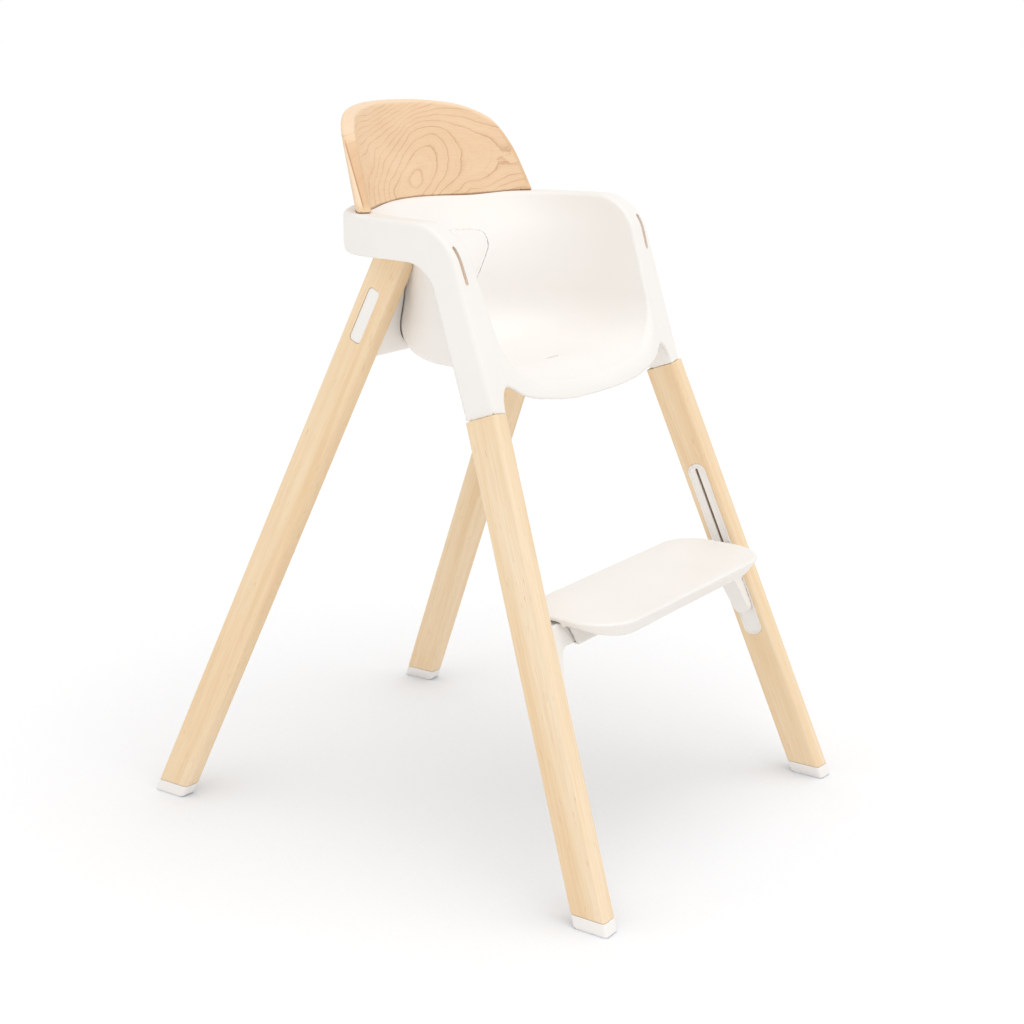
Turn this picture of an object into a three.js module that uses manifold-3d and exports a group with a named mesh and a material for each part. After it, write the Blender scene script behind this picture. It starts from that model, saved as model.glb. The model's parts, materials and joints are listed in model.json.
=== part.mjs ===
// Baby high chair: four splayed beech legs carry a moulded seat shell with a bent
// wooden backrest, and a footrest slides up and down on tracks in the front legs.
// Millimetres, +Z up, -Y is the front, X = 0 is the plane of symmetry, Z = 0 the floor.
// Left is the sitting child's left, +X. The left pieces are modelled and the right
// pieces are their mirror images.

import * as THREE from 'three';
import { mergeVertices } from 'three/addons/utils/BufferGeometryUtils.js';
import { ParametricGeometry } from 'three/addons/geometries/ParametricGeometry.js';
import Module from 'manifold-3d';

const wasm = await Module();
wasm.setup();

// ---------------------------------------------------------------- clearances
const FIT = 0.3;               // gap kept between pieces that touch
const LOOSE = 0.6;             // gap of a piece that slides in its guide
const PAST = 5;                // how far a cutting tool runs past a face
const REACH = 600;             // beyond the whole chair from its middle

// ---------------------------------------------------------------- heights
// The shell hangs below its rim: heights on it are written as depths under the rim.
const RIM_HEIGHT = 733;
const under = (depth) => RIM_HEIGHT - depth;
const overRim = (points) => points.map(([across, rise]) => [across, RIM_HEIGHT + rise]);
const underRim = (points) => points.map(([across, depth]) => [across, under(depth)]);

// ---------------------------------------------------------------- legs
// Each leg's centre line runs down and outwards from a point on the shell.
const legFoot = (x, y, z, slope) => new THREE.Vector3(x - slope.x * z, y - slope.y * z, 0);
const FRONT_SLOPE = { x: -0.1314, y: 0.3669 };   // centre line drift per mm of height
const FRONT_JOINT = { x: 189.39, y: -123.45, depth: 207.05 };   // shoulder of the front leg
const FRONT_FOOT = legFoot(FRONT_JOINT.x, FRONT_JOINT.y, under(FRONT_JOINT.depth), FRONT_SLOPE);
const FRONT_ALONG = Math.hypot(1, FRONT_SLOPE.x, FRONT_SLOPE.y);   // length per mm of height
const FRONT_SHOULDER = under(FRONT_JOINT.depth) * FRONT_ALONG;     // where the socket starts
const FRONT_WIDE = 42.6;                         // section front to back
const FRONT_THICK = 23.8;                        // section side to side
const REAR_SLOPE = { x: -0.1327, y: -0.4327 };
const REAR_JOINT = { x: 163.4, y: 17.87, depth: 43 };            // where it meets the band
const REAR_FOOT = legFoot(REAR_JOINT.x, REAR_JOINT.y, under(REAR_JOINT.depth), REAR_SLOPE);
const REAR_ALONG = Math.hypot(1, REAR_SLOPE.x, REAR_SLOPE.y);
const REAR_WIDE = 43.8;
const REAR_THICK = 22.9;
const LEG_CORNER = 4.5;                          // radius along the long edges
const CAP_HEIGHT = 15;                           // foot cap
const CAP_SPIGOT = { wide: 24, thick: 10, length: 22 };
const TENON = { wide: 24, thick: 11, length: 38 };

// ---------------------------------------------------------------- seat shell
const SHELL_WALL = 4;
const SIDE_HALF = 201.6;                         // half width over the arms
const BAND_BOTTOM = under(43);
const REAR_TOP = BAND_BOTTOM - FIT;              // height at which the rear legs end
const BAND_CENTRE_Y = -85;                       // centre of the round back
const BAND_RADIUS = 242.7;
const BAND_CORNER = 60;                          // plan radius from side to back
const ARM_INNER = 175.6;
const FRONT_TILT = 0.326;                        // lean of the front face, dY/dZ
const FRONT_Y = -143.1;                          // front face at FRONT_Z
const FRONT_Z = under(202.5);
const FRONT_TOP_RADIUS = 42;
const ARM_REAR = underRim([[-104.7, 210.5], [-86.7, 151.4], [-71.5, 102.5]]);
const ARM_REAR_END = [-36, BAND_BOTTOM];         // where the arm meets the band
const LIP_BOW = 12;                              // how far the lip swells forward
const LIP_BOW_HALF = 165;
const LIP_BOW_POWER = 2.6;
const LIP_BOTTOM = underRim([[0, 205.3], [56, 204], [83.7, 201.3], [103.6, 198], [121.7, 195],
  [138.8, 189.7], [147, 185.2], [153.5, 181]]);  // (x, z), the middle is lowest
const NOTCH = underRim([[159, 176.5], [164, 175], [168, 177.5], [171.5, 183], [174.7, 190], [177, 202]]);
const SHELL_FOOT = under(228);                   // below the lowest point of the shell
const TRAY_SLOT = { x: 187.5, wide: 5.4, deep: 14, z0: under(64.3), z1: under(25.4) };
const CROTCH_SLOT = { length: 26, wide: 4, y: -82.6, z: under(169) };
const SOCKET_TOP = under(121);                   // solid part of the arm above the tenon

// seat bowl, inner face: depth under the rim, half width, back Y, roundness of the section
const BOWL = [
  { depth: 173, a: 45, back: -22, n: 2.4 },
  { depth: 170, a: 110, back: 21, n: 2.9 },
  { depth: 163, a: 138, back: 55, n: 2.85 },
  { depth: 148, a: 153, back: 74, n: 2.65 },
  { depth: 123, a: 159, back: 79, n: 2.35 },
  { depth: 83, a: 162.5, back: 81.5, n: 2.1 },
  { depth: 43, a: 165, back: 98, n: 2.1 },
  { depth: 21, a: 168, back: 110, n: 2.35 },
  { depth: 0, a: 170.2, back: 123, n: 2.55 },
];
const BOWL_LEVELS = [173, 170, 166.5, 163, 157, 148, 136, 123, 103, 73, 43, 21, 0, -12].map(under);
const BOWL_BACK_STEPS = 20;
const BOWL_SIDE_STEPS = 5;
const BOWL_FRONT_STEPS = 8;
const BOWL_WIDEST_Y = -60;                       // the sides run straight ahead of this
const BOWL_FRONT_Y = -185;
const BOWL_FLOOR_ROUND = 50;                     // height over which the floor turns into wall
const WATERFALL = { start: -85, end: -150, drop: 15, fadeFrom: under(143), fadeTo: under(113) };

// harness hatch in the back wall, half outline (x, z)
const HATCH = underRim([[0, 109], [30, 108.7], [48, 106.5], [58, 101.5], [65, 92], [71.7, 80.7], [77.1, 72.4],
  [81.2, 65], [83.4, 58], [83.9, 52.5], [82, 48.1], [78, 46]]);
const HATCH_CENTRE = under(72);
const HATCH_THICK = 2.4;
const HATCH_GROW = 0.012;

// ---------------------------------------------------------------- backrest
const BACK_RADIUS = 212;                         // front face, about BAND_CENTRE_Y
const BACK_THICK = 16;
const BACK_TILT = 0.22;                          // dY/dZ
const BACK_BASE = under(33);                     // bottom of the tongue in the shell
const BACK_OUTLINE = overRim([[166.6, 26], [160.7, 52.5], [149, 80],
  [135.7, 94], [106.7, 106.6], [62.3, 113], [27, 114.8], [0, 115]]);   // half outline (x, z)
const BACK_TOP = BACK_OUTLINE.at(-1)[1];
const BACK_HALF = 171.3;                         // at the rim
const TONGUE_HALF = 160;
const POCKET_WALL = 4;
const BACK_SCREW_ANGLES = [-38, -14, 14, 38];    // degrees from the rear
const BACK_SCREW = { shank: 2, head: 4, headHeight: 2.6, length: 26 };

// ---------------------------------------------------------------- yoke between the rear legs
const YOKE = { bottom: under(167), barTop: under(141), earTop: under(78), rear: 21, ear: 60, corner: 24 };
const REAR_BOLTS = [under(131.8) * REAR_ALONG, under(95.4) * REAR_ALONG];   // along the leg
const REAR_BOLT = { shank: 3, head: 5, headHeight: 3, length: 31 };
const COVER = { over: 13, u: 0.65, wide: 16.3, corner: 5, thick: 2, sink: 0.5, gap: 0.4 };
const YOKE_SCREW = { x: 60, z: under(156), shank: 2, head: 4, headHeight: 2.6, boss: 6.5, tipY: 60 };

// ---------------------------------------------------------------- front leg fixing
const FRONT_BOLT = { at: FRONT_SHOULDER + 23.5, shank: 3, head: 5, headHeight: 3.2 };
const BARREL_NUT = { radius: 5, length: 9 };

// ---------------------------------------------------------------- footrest
// Everything on it is placed from the board's top and the front legs beside it.
const BOARD_TOP = 313;
const frontLegX = (z) => FRONT_FOOT.x + FRONT_SLOPE.x * z;
const frontLegY = (z) => FRONT_FOOT.y + FRONT_SLOPE.y * z;
const fromBoard = (drop) => (BOARD_TOP - drop) * FRONT_ALONG;      // along the leg
const BOARD_SIDE_GAP = 33.4;                     // from a leg's centre line to the board's end
const BOARD_HALF = frontLegX(BOARD_TOP) - BOARD_SIDE_GAP;
const BOARD_MIDDLE = frontLegY(BOARD_TOP);       // the legs' centre line beside the board
const BOARD_FRONT = BOARD_MIDDLE - 86.4;
const BOARD_BACK = BOARD_MIDDLE + 45.6;
const BOARD_FRONT_CORNER = 55;
const BOARD_BACK_CORNER = 45;
const BOARD_UNDER = [[63, 23], [42, 20.5], [28, 18], [15, 15.6], [4, 13.4], [-6, 11.5]]
  .map(([fromEnd, drop]) => [BOARD_HALF - fromEnd, BOARD_TOP - drop]);   // underside, (x, z)
const BOARD_FLOOR = 4;
const BOARD_SKIRT = 7;
const BOARD_UNDERCUT = { edge: 3, run: 14 };
const HOUSING = { ahead: 17, behind: 20, bottom: BOARD_TOP - 36, from: BOARD_HALF - 89, wall: 2.6 };
const HOUSING_END = [[-25, -33.5], [-11, -9], [-6, -6], [0, -4.5]]
  .map(([fromEnd, drop]) => [BOARD_HALF + fromEnd, BOARD_TOP + drop]);     // slanted end, (x, z)
const TRACK = { from: fromBoard(125.15), to: fromBoard(-91.2), wide: 25.4, corner: 11, proud: 1, deep: 9,
  rim: 1.6, sunk: 1 };
const TRACK_SLOT = { wide: 4, from: fromBoard(93.1), to: fromBoard(-85.8) };
const TRACK_CHANNEL = { wide: 13, face: 2.6, from: TRACK_SLOT.from - 4, to: TRACK_SLOT.to + 3 };
const TONGUE = { wide: 21, from: fromBoard(95), corner: 9 };
// Front of the tongue and of the block above it: how proud of the leg, and how far below the
// board's top along the leg.
const TONGUE_FRONT = [[9.5, 95], [20.6, 42.8], [24.1, 35.3], [27.6, 32.1], [32.1, 30.3], [48.3, 29.2],
  [31.4, 7.1], [26.7, 5.5]];
const TONGUE_TOP = 8.8;
const SLIDER = { head: 11.6, headThick: 3.4, neck: 2.4, from: fromBoard(67), to: fromBoard(27.9), intoTongue: 6 };
const SLIDER_PINS = [SLIDER.from + 10, SLIDER.to - 10];
const PIN = { radius: 1.5, length: 18 };
const ARM_BAR = { half: 10.5, bottom: BOARD_TOP - 33, top: BOARD_TOP - 11, from: BOARD_HALF - 72,
  to: BOARD_HALF - 12 };

// ---------------------------------------------------------------- looks
const BEECH = { color: 0xf0d4ac, roughness: 0.55, metalness: 0 };
const BEECH_PLY = { color: 0xecc89a, roughness: 0.5, metalness: 0 };
const PLASTIC = { color: 0xf7f3ee, roughness: 0.42, metalness: 0 };
const PLASTIC_COVER = { color: 0xf3efe9, roughness: 0.4, metalness: 0 };
const RUBBER = { color: 0xf4f1ec, roughness: 0.7, metalness: 0 };
const ACETAL = { color: 0xe7e3dc, roughness: 0.35, metalness: 0 };
const STEEL = { color: 0xb9bcc0, roughness: 0.35, metalness: 1 };

// ================================================================ helpers

// A closed mesh with its shared vertices merged becomes a solid that can be cut.
function solid(geometry) {
  const bare = geometry.clone();
  bare.deleteAttribute('normal');
  bare.deleteAttribute('uv');
  const merged = mergeVertices(bare, 1e-4);
  const index = merged.index.array;
  const kept = [];
  for (let i = 0; i < index.length; i += 3) {
    const [a, b, c] = [index[i], index[i + 1], index[i + 2]];
    if (a !== b && b !== c && c !== a) kept.push(a, b, c);
  }
  return new wasm.Manifold(new wasm.Mesh({
    numProp: 3,
    vertProperties: new Float32Array(merged.attributes.position.array),
    triVerts: new Uint32Array(kept),
  }));
}

// The solid's triangles as a geometry for a mesh.
function geometryOf(body) {
  const mesh = body.getMesh();
  const geometry = new THREE.BufferGeometry();
  geometry.setAttribute('position', new THREE.BufferAttribute(new Float32Array(mesh.vertProperties), 3));
  geometry.setIndex(new THREE.BufferAttribute(new Uint32Array(mesh.triVerts), 1));
  geometry.computeVertexNormals();
  return geometry;
}

const join = (...bodies) => bodies.reduce((whole, body) => whole.add(body));
const cut = (body, ...tools) => tools.reduce((whole, tool) => whole.subtract(tool), body);
const common = (...bodies) => bodies.reduce((whole, body) => whole.intersect(body));

// Mirror image in the plane X = 0, with the faces turned back outwards.
function mirrored(geometry) {
  const twin = geometry.clone();
  twin.scale(-1, 1, 1);
  const index = twin.index.array;
  for (let i = 0; i < index.length; i += 3) [index[i], index[i + 1]] = [index[i + 1], index[i]];
  twin.computeVertexNormals();
  return twin;
}

const mirrorSolid = (body) => solid(mirrored(geometryOf(body)));
const bothSides = (body) => join(body, mirrorSolid(body));

// Rectangle with rounded corners, centred on (x, y).
function roundedRectangle(width, height, radius, x = 0, y = 0) {
  const [w, h] = [width / 2, height / 2];
  const shape = new THREE.Shape();
  shape.moveTo(x - w + radius, y - h);
  shape.lineTo(x + w - radius, y - h);
  shape.absarc(x + w - radius, y - h + radius, radius, -Math.PI / 2, 0);
  shape.lineTo(x + w, y + h - radius);
  shape.absarc(x + w - radius, y + h - radius, radius, 0, Math.PI / 2);
  shape.lineTo(x - w + radius, y + h);
  shape.absarc(x - w + radius, y + h - radius, radius, Math.PI / 2, Math.PI);
  shape.lineTo(x - w, y - h + radius);
  shape.absarc(x - w + radius, y - h + radius, radius, Math.PI, 1.5 * Math.PI);
  return shape;
}

const polygon = (points) => new THREE.Shape(points.map(([x, y]) => new THREE.Vector2(x, y)));

// Prism of a shape along local +Z from z0 to z1.
function prism(shape, z0, z1, curveSegments = 3) {
  const geometry = new THREE.ExtrudeGeometry(shape, { depth: z1 - z0, bevelEnabled: false, curveSegments });
  geometry.translate(0, 0, z0);
  return geometry;
}

// Prism of a shape drawn in (Y, Z), reaching from x0 to x1.
function sidePrism(shape, x0, x1, curveSegments) {
  const axes = new THREE.Matrix4().makeBasis(
    new THREE.Vector3(0, 1, 0), new THREE.Vector3(0, 0, 1), new THREE.Vector3(1, 0, 0));
  return prism(shape, x0, x1, curveSegments).applyMatrix4(axes);
}

// Prism of a shape drawn in (X, Z), reaching from y0 to y1.
function frontPrism(shape, y0, y1, curveSegments) {
  const axes = new THREE.Matrix4().makeBasis(
    new THREE.Vector3(1, 0, 0), new THREE.Vector3(0, 0, 1), new THREE.Vector3(0, -1, 0));
  return prism(shape, -y1, -y0, curveSegments).applyMatrix4(axes);
}

function box(x0, x1, y0, y1, z0, z1) {
  const geometry = new THREE.BoxGeometry(x1 - x0, y1 - y0, z1 - z0);
  return geometry.translate((x0 + x1) / 2, (y0 + y1) / 2, (z0 + z1) / 2);
}

// Slide everything in Y by slope times its height above z0.
function lean(geometry, slope, z0) {
  const shear = new THREE.Matrix4().set(1, 0, 0, 0, 0, 1, slope, -slope * z0, 0, 0, 1, 0, 0, 0, 0, 1);
  return geometry.applyMatrix4(shear);
}

// Round bar between two points.
function rod(from, to, radius, segments = 12) {
  const span = new THREE.Vector3().subVectors(to, from);
  const geometry = new THREE.CylinderGeometry(radius, radius, span.length(), segments);
  const turn = new THREE.Quaternion().setFromUnitVectors(new THREE.Vector3(0, 1, 0), span.clone().normalize());
  geometry.applyQuaternion(turn);
  const middle = from.clone().addScaledVector(span, 0.5);
  return geometry.translate(middle.x, middle.y, middle.z);
}

// Screw or bolt: round head with a hexagon socket, plain shank, along from -> direction.
function screw(under, direction, size) {
  const head = rod(under.clone().addScaledVector(direction, -size.headHeight), under, size.head, 12);
  const shank = rod(under.clone().addScaledVector(direction, -0.5),
    under.clone().addScaledVector(direction, size.length), size.shank, 8);
  const socketTop = under.clone().addScaledVector(direction, -size.headHeight - 1);
  const socketEnd = under.clone().addScaledVector(direction, -size.headHeight * 0.4);
  const hexagon = rod(socketTop, socketEnd, size.head * 0.5, 6);
  return cut(join(solid(head), solid(shank)), solid(hexagon));
}

// Frame of a leg: local x outwards, y backwards, z up along the leg from the floor.
function legFrame(foot, slope) {
  const along = new THREE.Vector3(slope.x, slope.y, 1).normalize();
  const back = new THREE.Vector3(0, 1, 0).addScaledVector(along, -along.y).normalize();
  const out = new THREE.Vector3().crossVectors(back, along);
  return new THREE.Matrix4().makeBasis(out, back, along).setPosition(foot);
}

const FRONT_FRAME = legFrame(FRONT_FOOT, FRONT_SLOPE);
const REAR_FRAME = legFrame(REAR_FOOT, REAR_SLOPE);
const alongOf = (frame) => new THREE.Vector3().setFromMatrixColumn(frame, 2);
const backOf = (frame) => new THREE.Vector3().setFromMatrixColumn(frame, 1);
const outOf = (frame) => new THREE.Vector3().setFromMatrixColumn(frame, 0);
const pointIn = (frame, v, u, s) => new THREE.Vector3(v, u, s).applyMatrix4(frame);

// Prism in a leg's frame, of a shape drawn in (outwards, backwards).
const legPrism = (frame, shape, s0, s1, segments) => prism(shape, s0, s1, segments).applyMatrix4(frame);

// Prism in a leg's frame, of a shape drawn in (backwards, along), reaching from v0 to v1.
function legSidePrism(frame, shape, v0, v1, segments) {
  return sidePrism(shape, v0, v1, segments).applyMatrix4(frame);
}

// Slice of space between two heights.
const layer = (z0, z1) => solid(box(-REACH, REACH, -REACH, REACH, z0, z1));

// ================================================================ seat bowl

// Value of a column of BOWL at a height, smoothly between the listed stations.
function bowlAt(z, key) {
  const top = BOWL.length - 1;
  const depth = RIM_HEIGHT - z;
  if (depth >= BOWL[0].depth) return BOWL[0][key];
  if (depth <= BOWL[top].depth) return BOWL[top][key];
  const i = BOWL.findIndex((station) => station.depth < depth) - 1;
  const t = (BOWL[i].depth - depth) / (BOWL[i].depth - BOWL[i + 1].depth);
  return BOWL[i][key] + t * (BOWL[i + 1][key] - BOWL[i][key]);
}

// The floor dips towards the front edge, most in the middle.
function waterfall(x, y) {
  const t = THREE.MathUtils.clamp((WATERFALL.start - y) / (WATERFALL.start - WATERFALL.end), 0, 1);
  const across = Math.max(0, 1 - (x / LIP_BOW_HALF) ** 2);
  return -WATERFALL.drop * t * t * (3 - 2 * t) * across;
}

// Closed surface of the bowl's inside, moved out by `grow`, as one parametric sheet:
// v runs from the middle of the lid over the rim and down to the middle of the floor.
function bowlSolid(grow) {
  const ringSteps = BOWL_BACK_STEPS + 2 * BOWL_SIDE_STEPS + BOWL_FRONT_STEPS;
  const rings = BOWL_LEVELS.length;
  const sheet = (u, v, target) => {
    const ring = Math.round(v * (rings + 1)) - 1;
    const level = THREE.MathUtils.clamp(rings - 1 - ring, 0, rings - 1);
    const z = BOWL_LEVELS[level];
    const shrink = ring < 0 || ring >= rings ? 0 : 1;
    const a = bowlAt(z, 'a') + grow;
    const b = bowlAt(z, 'back') + grow - BOWL_WIDEST_Y;
    const n = bowlAt(z, 'n');
    const k = Math.round((1 - u) * ringSteps) % ringSteps;
    let x, y;
    if (k <= BOWL_BACK_STEPS) {
      const angle = Math.PI * k / BOWL_BACK_STEPS;
      const [c, s] = [Math.cos(angle), Math.sin(angle)];
      x = a * Math.sign(c) * Math.abs(c) ** (2 / n);
      y = BOWL_WIDEST_Y + b * Math.abs(s) ** (2 / n);
    } else if (k <= BOWL_BACK_STEPS + BOWL_SIDE_STEPS) {
      x = -a;
      y = THREE.MathUtils.lerp(BOWL_WIDEST_Y, BOWL_FRONT_Y, (k - BOWL_BACK_STEPS) / BOWL_SIDE_STEPS);
    } else if (k <= BOWL_BACK_STEPS + BOWL_SIDE_STEPS + BOWL_FRONT_STEPS) {
      x = THREE.MathUtils.lerp(-a, a, (k - BOWL_BACK_STEPS - BOWL_SIDE_STEPS) / BOWL_FRONT_STEPS);
      y = BOWL_FRONT_Y;
    } else {
      x = a;
      y = THREE.MathUtils.lerp(BOWL_WIDEST_Y, BOWL_FRONT_Y, (ringSteps - k) / BOWL_SIDE_STEPS);
    }
    x *= shrink;
    y = BOWL_WIDEST_Y + (y - BOWL_WIDEST_Y) * shrink;
    const settle = THREE.MathUtils.clamp((BOWL_LEVELS[0] + BOWL_FLOOR_ROUND - z) / BOWL_FLOOR_ROUND, 0, 1);
    const fade = THREE.MathUtils.clamp((WATERFALL.fadeTo - z) / (WATERFALL.fadeTo - WATERFALL.fadeFrom), 0, 1);
    target.set(x, y, z - grow * settle + waterfall(x, y) * fade);
  };
  return solid(new ParametricGeometry(sheet, ringSteps, rings + 1));
}

const bowlInside = bowlSolid(0);
const bowlOutside = bowlSolid(SHELL_WALL);

// ================================================================ seat shell

// Plan of the band and arms, (X, Y): straight sides, round corners, round back.
function bandPlan(inset) {
  const half = SIDE_HALF - inset;
  const radius = BAND_RADIUS - inset;
  const corner = BAND_CORNER - inset;
  const cornerX = half - corner;
  const cornerY = BAND_CENTRE_Y + Math.sqrt((radius - corner) ** 2 - cornerX ** 2);
  const meet = Math.atan2(cornerY - BAND_CENTRE_Y, cornerX);
  const shape = new THREE.Shape();
  shape.moveTo(-half, -REACH);
  shape.lineTo(half, -REACH);
  shape.lineTo(half, cornerY);
  shape.absarc(cornerX, cornerY, corner, 0, meet);
  shape.absarc(0, BAND_CENTRE_Y, radius, meet, Math.PI - meet);
  shape.absarc(-cornerX, cornerY, corner, Math.PI - meet, Math.PI);
  return shape;
}

const frontYAt = (z) => FRONT_Y + FRONT_TILT * (z - FRONT_Z);
const FRONT_STRETCH = Math.hypot(1, FRONT_TILT);

// Side view of an arm and the band, (Y, Z), with its walls moved in by `inset`.
function armProfile(inset, frontReach, bottom, bandBottom) {
  const radius = FRONT_TOP_RADIUS - inset;
  const centreZ = RIM_HEIGHT - FRONT_TOP_RADIUS;
  const centreY = frontYAt(centreZ) + FRONT_TOP_RADIUS * FRONT_STRETCH;
  const tangent = Math.PI - Math.atan(FRONT_TILT);
  const tangentY = centreY + radius * Math.cos(tangent);
  const tangentZ = centreZ + radius * Math.sin(tangent);
  const rear = ARM_REAR.map(([y, z]) => [y - inset * FRONT_STRETCH, z]);
  const rearSlope = (rear[1][0] - rear[0][0]) / (rear[1][1] - rear[0][1]);
  const rearEnd = ARM_REAR_END[1] + inset;
  const shape = new THREE.Shape();
  shape.moveTo(frontReach, bottom);
  shape.lineTo(rear[0][0] + rearSlope * (bottom - rear[0][1]), bottom);
  rear.filter(([, z]) => z > bottom).forEach(([y, z]) => shape.lineTo(y, z));
  const [lastY, lastZ] = rear[rear.length - 1];
  const bendY = lastY + rearSlope * (rearEnd - lastZ);
  shape.quadraticCurveTo(bendY, rearEnd, ARM_REAR_END[0] + inset, rearEnd);
  if (bandBottom < rearEnd) {
    shape.lineTo(ARM_REAR_END[0] + 4 * inset, rearEnd);
    shape.lineTo(ARM_REAR_END[0] + 4 * inset, bandBottom);
  }
  shape.lineTo(REACH, bandBottom);
  shape.lineTo(REACH, RIM_HEIGHT - inset);
  shape.lineTo(centreY, RIM_HEIGHT - inset);
  shape.absarc(centreY, centreZ, radius, Math.PI / 2, tangent);
  if (frontReach < tangentY - REACH / 4) shape.lineTo(frontReach, tangentZ);
  return shape;
}

// The front swells forward in plan between the arms.
const bow = (x) => LIP_BOW * (1 - Math.min(1, Math.abs(x) / LIP_BOW_HALF) ** LIP_BOW_POWER);

const BOW_STEPS = 14;
const bowLine = (offset) => Array.from({ length: BOW_STEPS + 3 }, (_, i) => {
  const t = (i - 1) / BOW_STEPS * 2 - 1;
  const x = i === 0 ? -REACH : i === BOW_STEPS + 2 ? REACH : t * LIP_BOW_HALF;
  return [x, FRONT_Y + offset - bow(x)];
});

// Everything behind the leaning, swelling front face.
const behindFront = solid(lean(
  prism(polygon([...bowLine(0), [REACH, REACH], [-REACH, REACH]]), SHELL_FOOT - 60, RIM_HEIGHT + 60), FRONT_TILT, FRONT_Z));

// The front sheet is one wall thick and trimmed to the arms, the lip and the notches.
const FRONT_SHEET_TOP = under(30);
const armInnerX = NOTCH.at(-1)[0];
const frontHalf = [...LIP_BOTTOM, ...NOTCH, [armInnerX, SHELL_FOOT], [SIDE_HALF, SHELL_FOOT],
  [SIDE_HALF, FRONT_SHEET_TOP]];
const mirroredOutline = (half) => half.filter(([x]) => x !== 0).reverse().map(([x, z]) => [-x, z]);
const frontOutline = [...frontHalf, ...mirroredOutline(frontHalf)];
const frontSheet = common(
  solid(lean(prism(polygon([...bowLine(0), ...bowLine(SHELL_WALL).reverse()]),
    SHELL_FOOT - PAST, RIM_HEIGHT), FRONT_TILT, FRONT_Z)),
  solid(frontPrism(polygon(frontOutline), -REACH, REACH)));

const BAND_HOLLOW_Y = 20;                        // behind this the band keeps its back wall
const ARM_MEETS_BOWL = 172;                      // half width where the arm's top closes on the bowl
const armGap = [[ARM_INNER, SHELL_FOOT - PAST], [ARM_INNER, BAND_BOTTOM],
  [ARM_MEETS_BOWL, BAND_BOTTOM + 3 * SHELL_WALL], [ARM_MEETS_BOWL, RIM_HEIGHT - SHELL_WALL]];
const armsAndBand = cut(
  common(
    solid(sidePrism(armProfile(0, -REACH, SHELL_FOOT, BAND_BOTTOM), -SIDE_HALF, SIDE_HALF, 8)),
    solid(prism(bandPlan(0), SHELL_FOOT - PAST, RIM_HEIGHT + PAST, 12)),
    behindFront),
  common(
    solid(sidePrism(armProfile(SHELL_WALL, frontYAt(SOCKET_TOP) + SHELL_WALL * FRONT_STRETCH, SOCKET_TOP,
      BAND_BOTTOM - PAST), -REACH, REACH, 8)),
    solid(prism(bandPlan(SHELL_WALL), SHELL_FOOT - PAST, RIM_HEIGHT + PAST, 12))),
  solid(frontPrism(polygon([...armGap, ...mirroredOutline(armGap)]), -REACH, BAND_HOLLOW_Y)));

// Curved wall sector about the band's centre, leaning back with the backrest.
// Its ends are radial: halfWidth is measured at the backrest's rear face.
const BACK_REAR = BACK_RADIUS + BACK_THICK;
function backSector(inner, outer, halfWidth, z0, z1, segments = 18) {
  const shape = new THREE.Shape();
  const half = Math.asin(halfWidth / BACK_REAR);
  shape.absarc(0, BAND_CENTRE_Y, outer, Math.PI / 2 - half, Math.PI / 2 + half);
  shape.absarc(0, BAND_CENTRE_Y, inner, Math.PI / 2 + half, Math.PI / 2 - half, true);
  return solid(lean(prism(shape, z0, z1, segments), BACK_TILT, RIM_HEIGHT));
}

// Fan from the band's axis through an outline (x, z) drawn on the backrest's rear face.
function backFan(outline) {
  const tangents = outline.map(([x, z]) => [x / Math.sqrt(BACK_REAR ** 2 - x ** 2), z]);
  const fan = frontPrism(polygon(tangents), PAST, REACH);
  const position = fan.attributes.position;
  for (let i = 0; i < position.count; i += 1) position.setX(i, position.getX(i) * position.getY(i));
  fan.translate(0, BAND_CENTRE_Y, 0);
  return solid(lean(fan, BACK_TILT, RIM_HEIGHT));
}
const backPocket = backSector(BACK_RADIUS - FIT - POCKET_WALL, BACK_REAR + FIT + POCKET_WALL,
  TONGUE_HALF + POCKET_WALL, BACK_BASE - FIT - POCKET_WALL - 1, RIM_HEIGHT - 0.5);
const backSlot = backSector(BACK_RADIUS - FIT, BACK_REAR + FIT, TONGUE_HALF + FIT,
  BACK_BASE - FIT, RIM_HEIGHT + PAST);

// Screws go up through the pocket floor into the tongue.
const backAxis = new THREE.Vector3(0, BACK_TILT, 1).normalize();
function backScrewPoint(degrees, z) {
  const angle = THREE.MathUtils.degToRad(degrees);
  const radius = BACK_RADIUS + BACK_THICK / 2;
  return new THREE.Vector3(radius * Math.sin(angle),
    BAND_CENTRE_Y + radius * Math.cos(angle) + BACK_TILT * (z - RIM_HEIGHT), z);
}
const BACK_SCREW_SEAT = BACK_BASE - FIT - POCKET_WALL - 1 - FIT;
const backScrewHoles = join(...BACK_SCREW_ANGLES.map((degrees) => {
  const start = backScrewPoint(degrees, BACK_SCREW_SEAT - PAST);
  const length = PAST + BACK_SCREW.length + 2;
  return solid(rod(start, start.clone().addScaledVector(backAxis, length), BACK_SCREW.shank + FIT, 8));
}));
const backScrewSinks = join(...BACK_SCREW_ANGLES.map((degrees) => {
  const seat = backScrewPoint(degrees, BACK_SCREW_SEAT).addScaledVector(backAxis, FIT);
  return solid(rod(seat, seat.clone().addScaledVector(backAxis, -3 * PAST), BACK_SCREW.head + 2 * FIT, 12));
}));

// Ribs under the band stand on the top of each rear leg.
const LEG_RIBS = { x0: REAR_JOINT.x - 17, x1: SIDE_HALF - 2, at: [-20, -6, 8, 18].map((y) => REAR_JOINT.y + y), thick: 3.5 };
const legRibs = join(...LEG_RIBS.at.map((y) =>
  solid(box(LEG_RIBS.x0, LEG_RIBS.x1, y, y + LEG_RIBS.thick, BAND_BOTTOM, RIM_HEIGHT - 1))));

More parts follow.
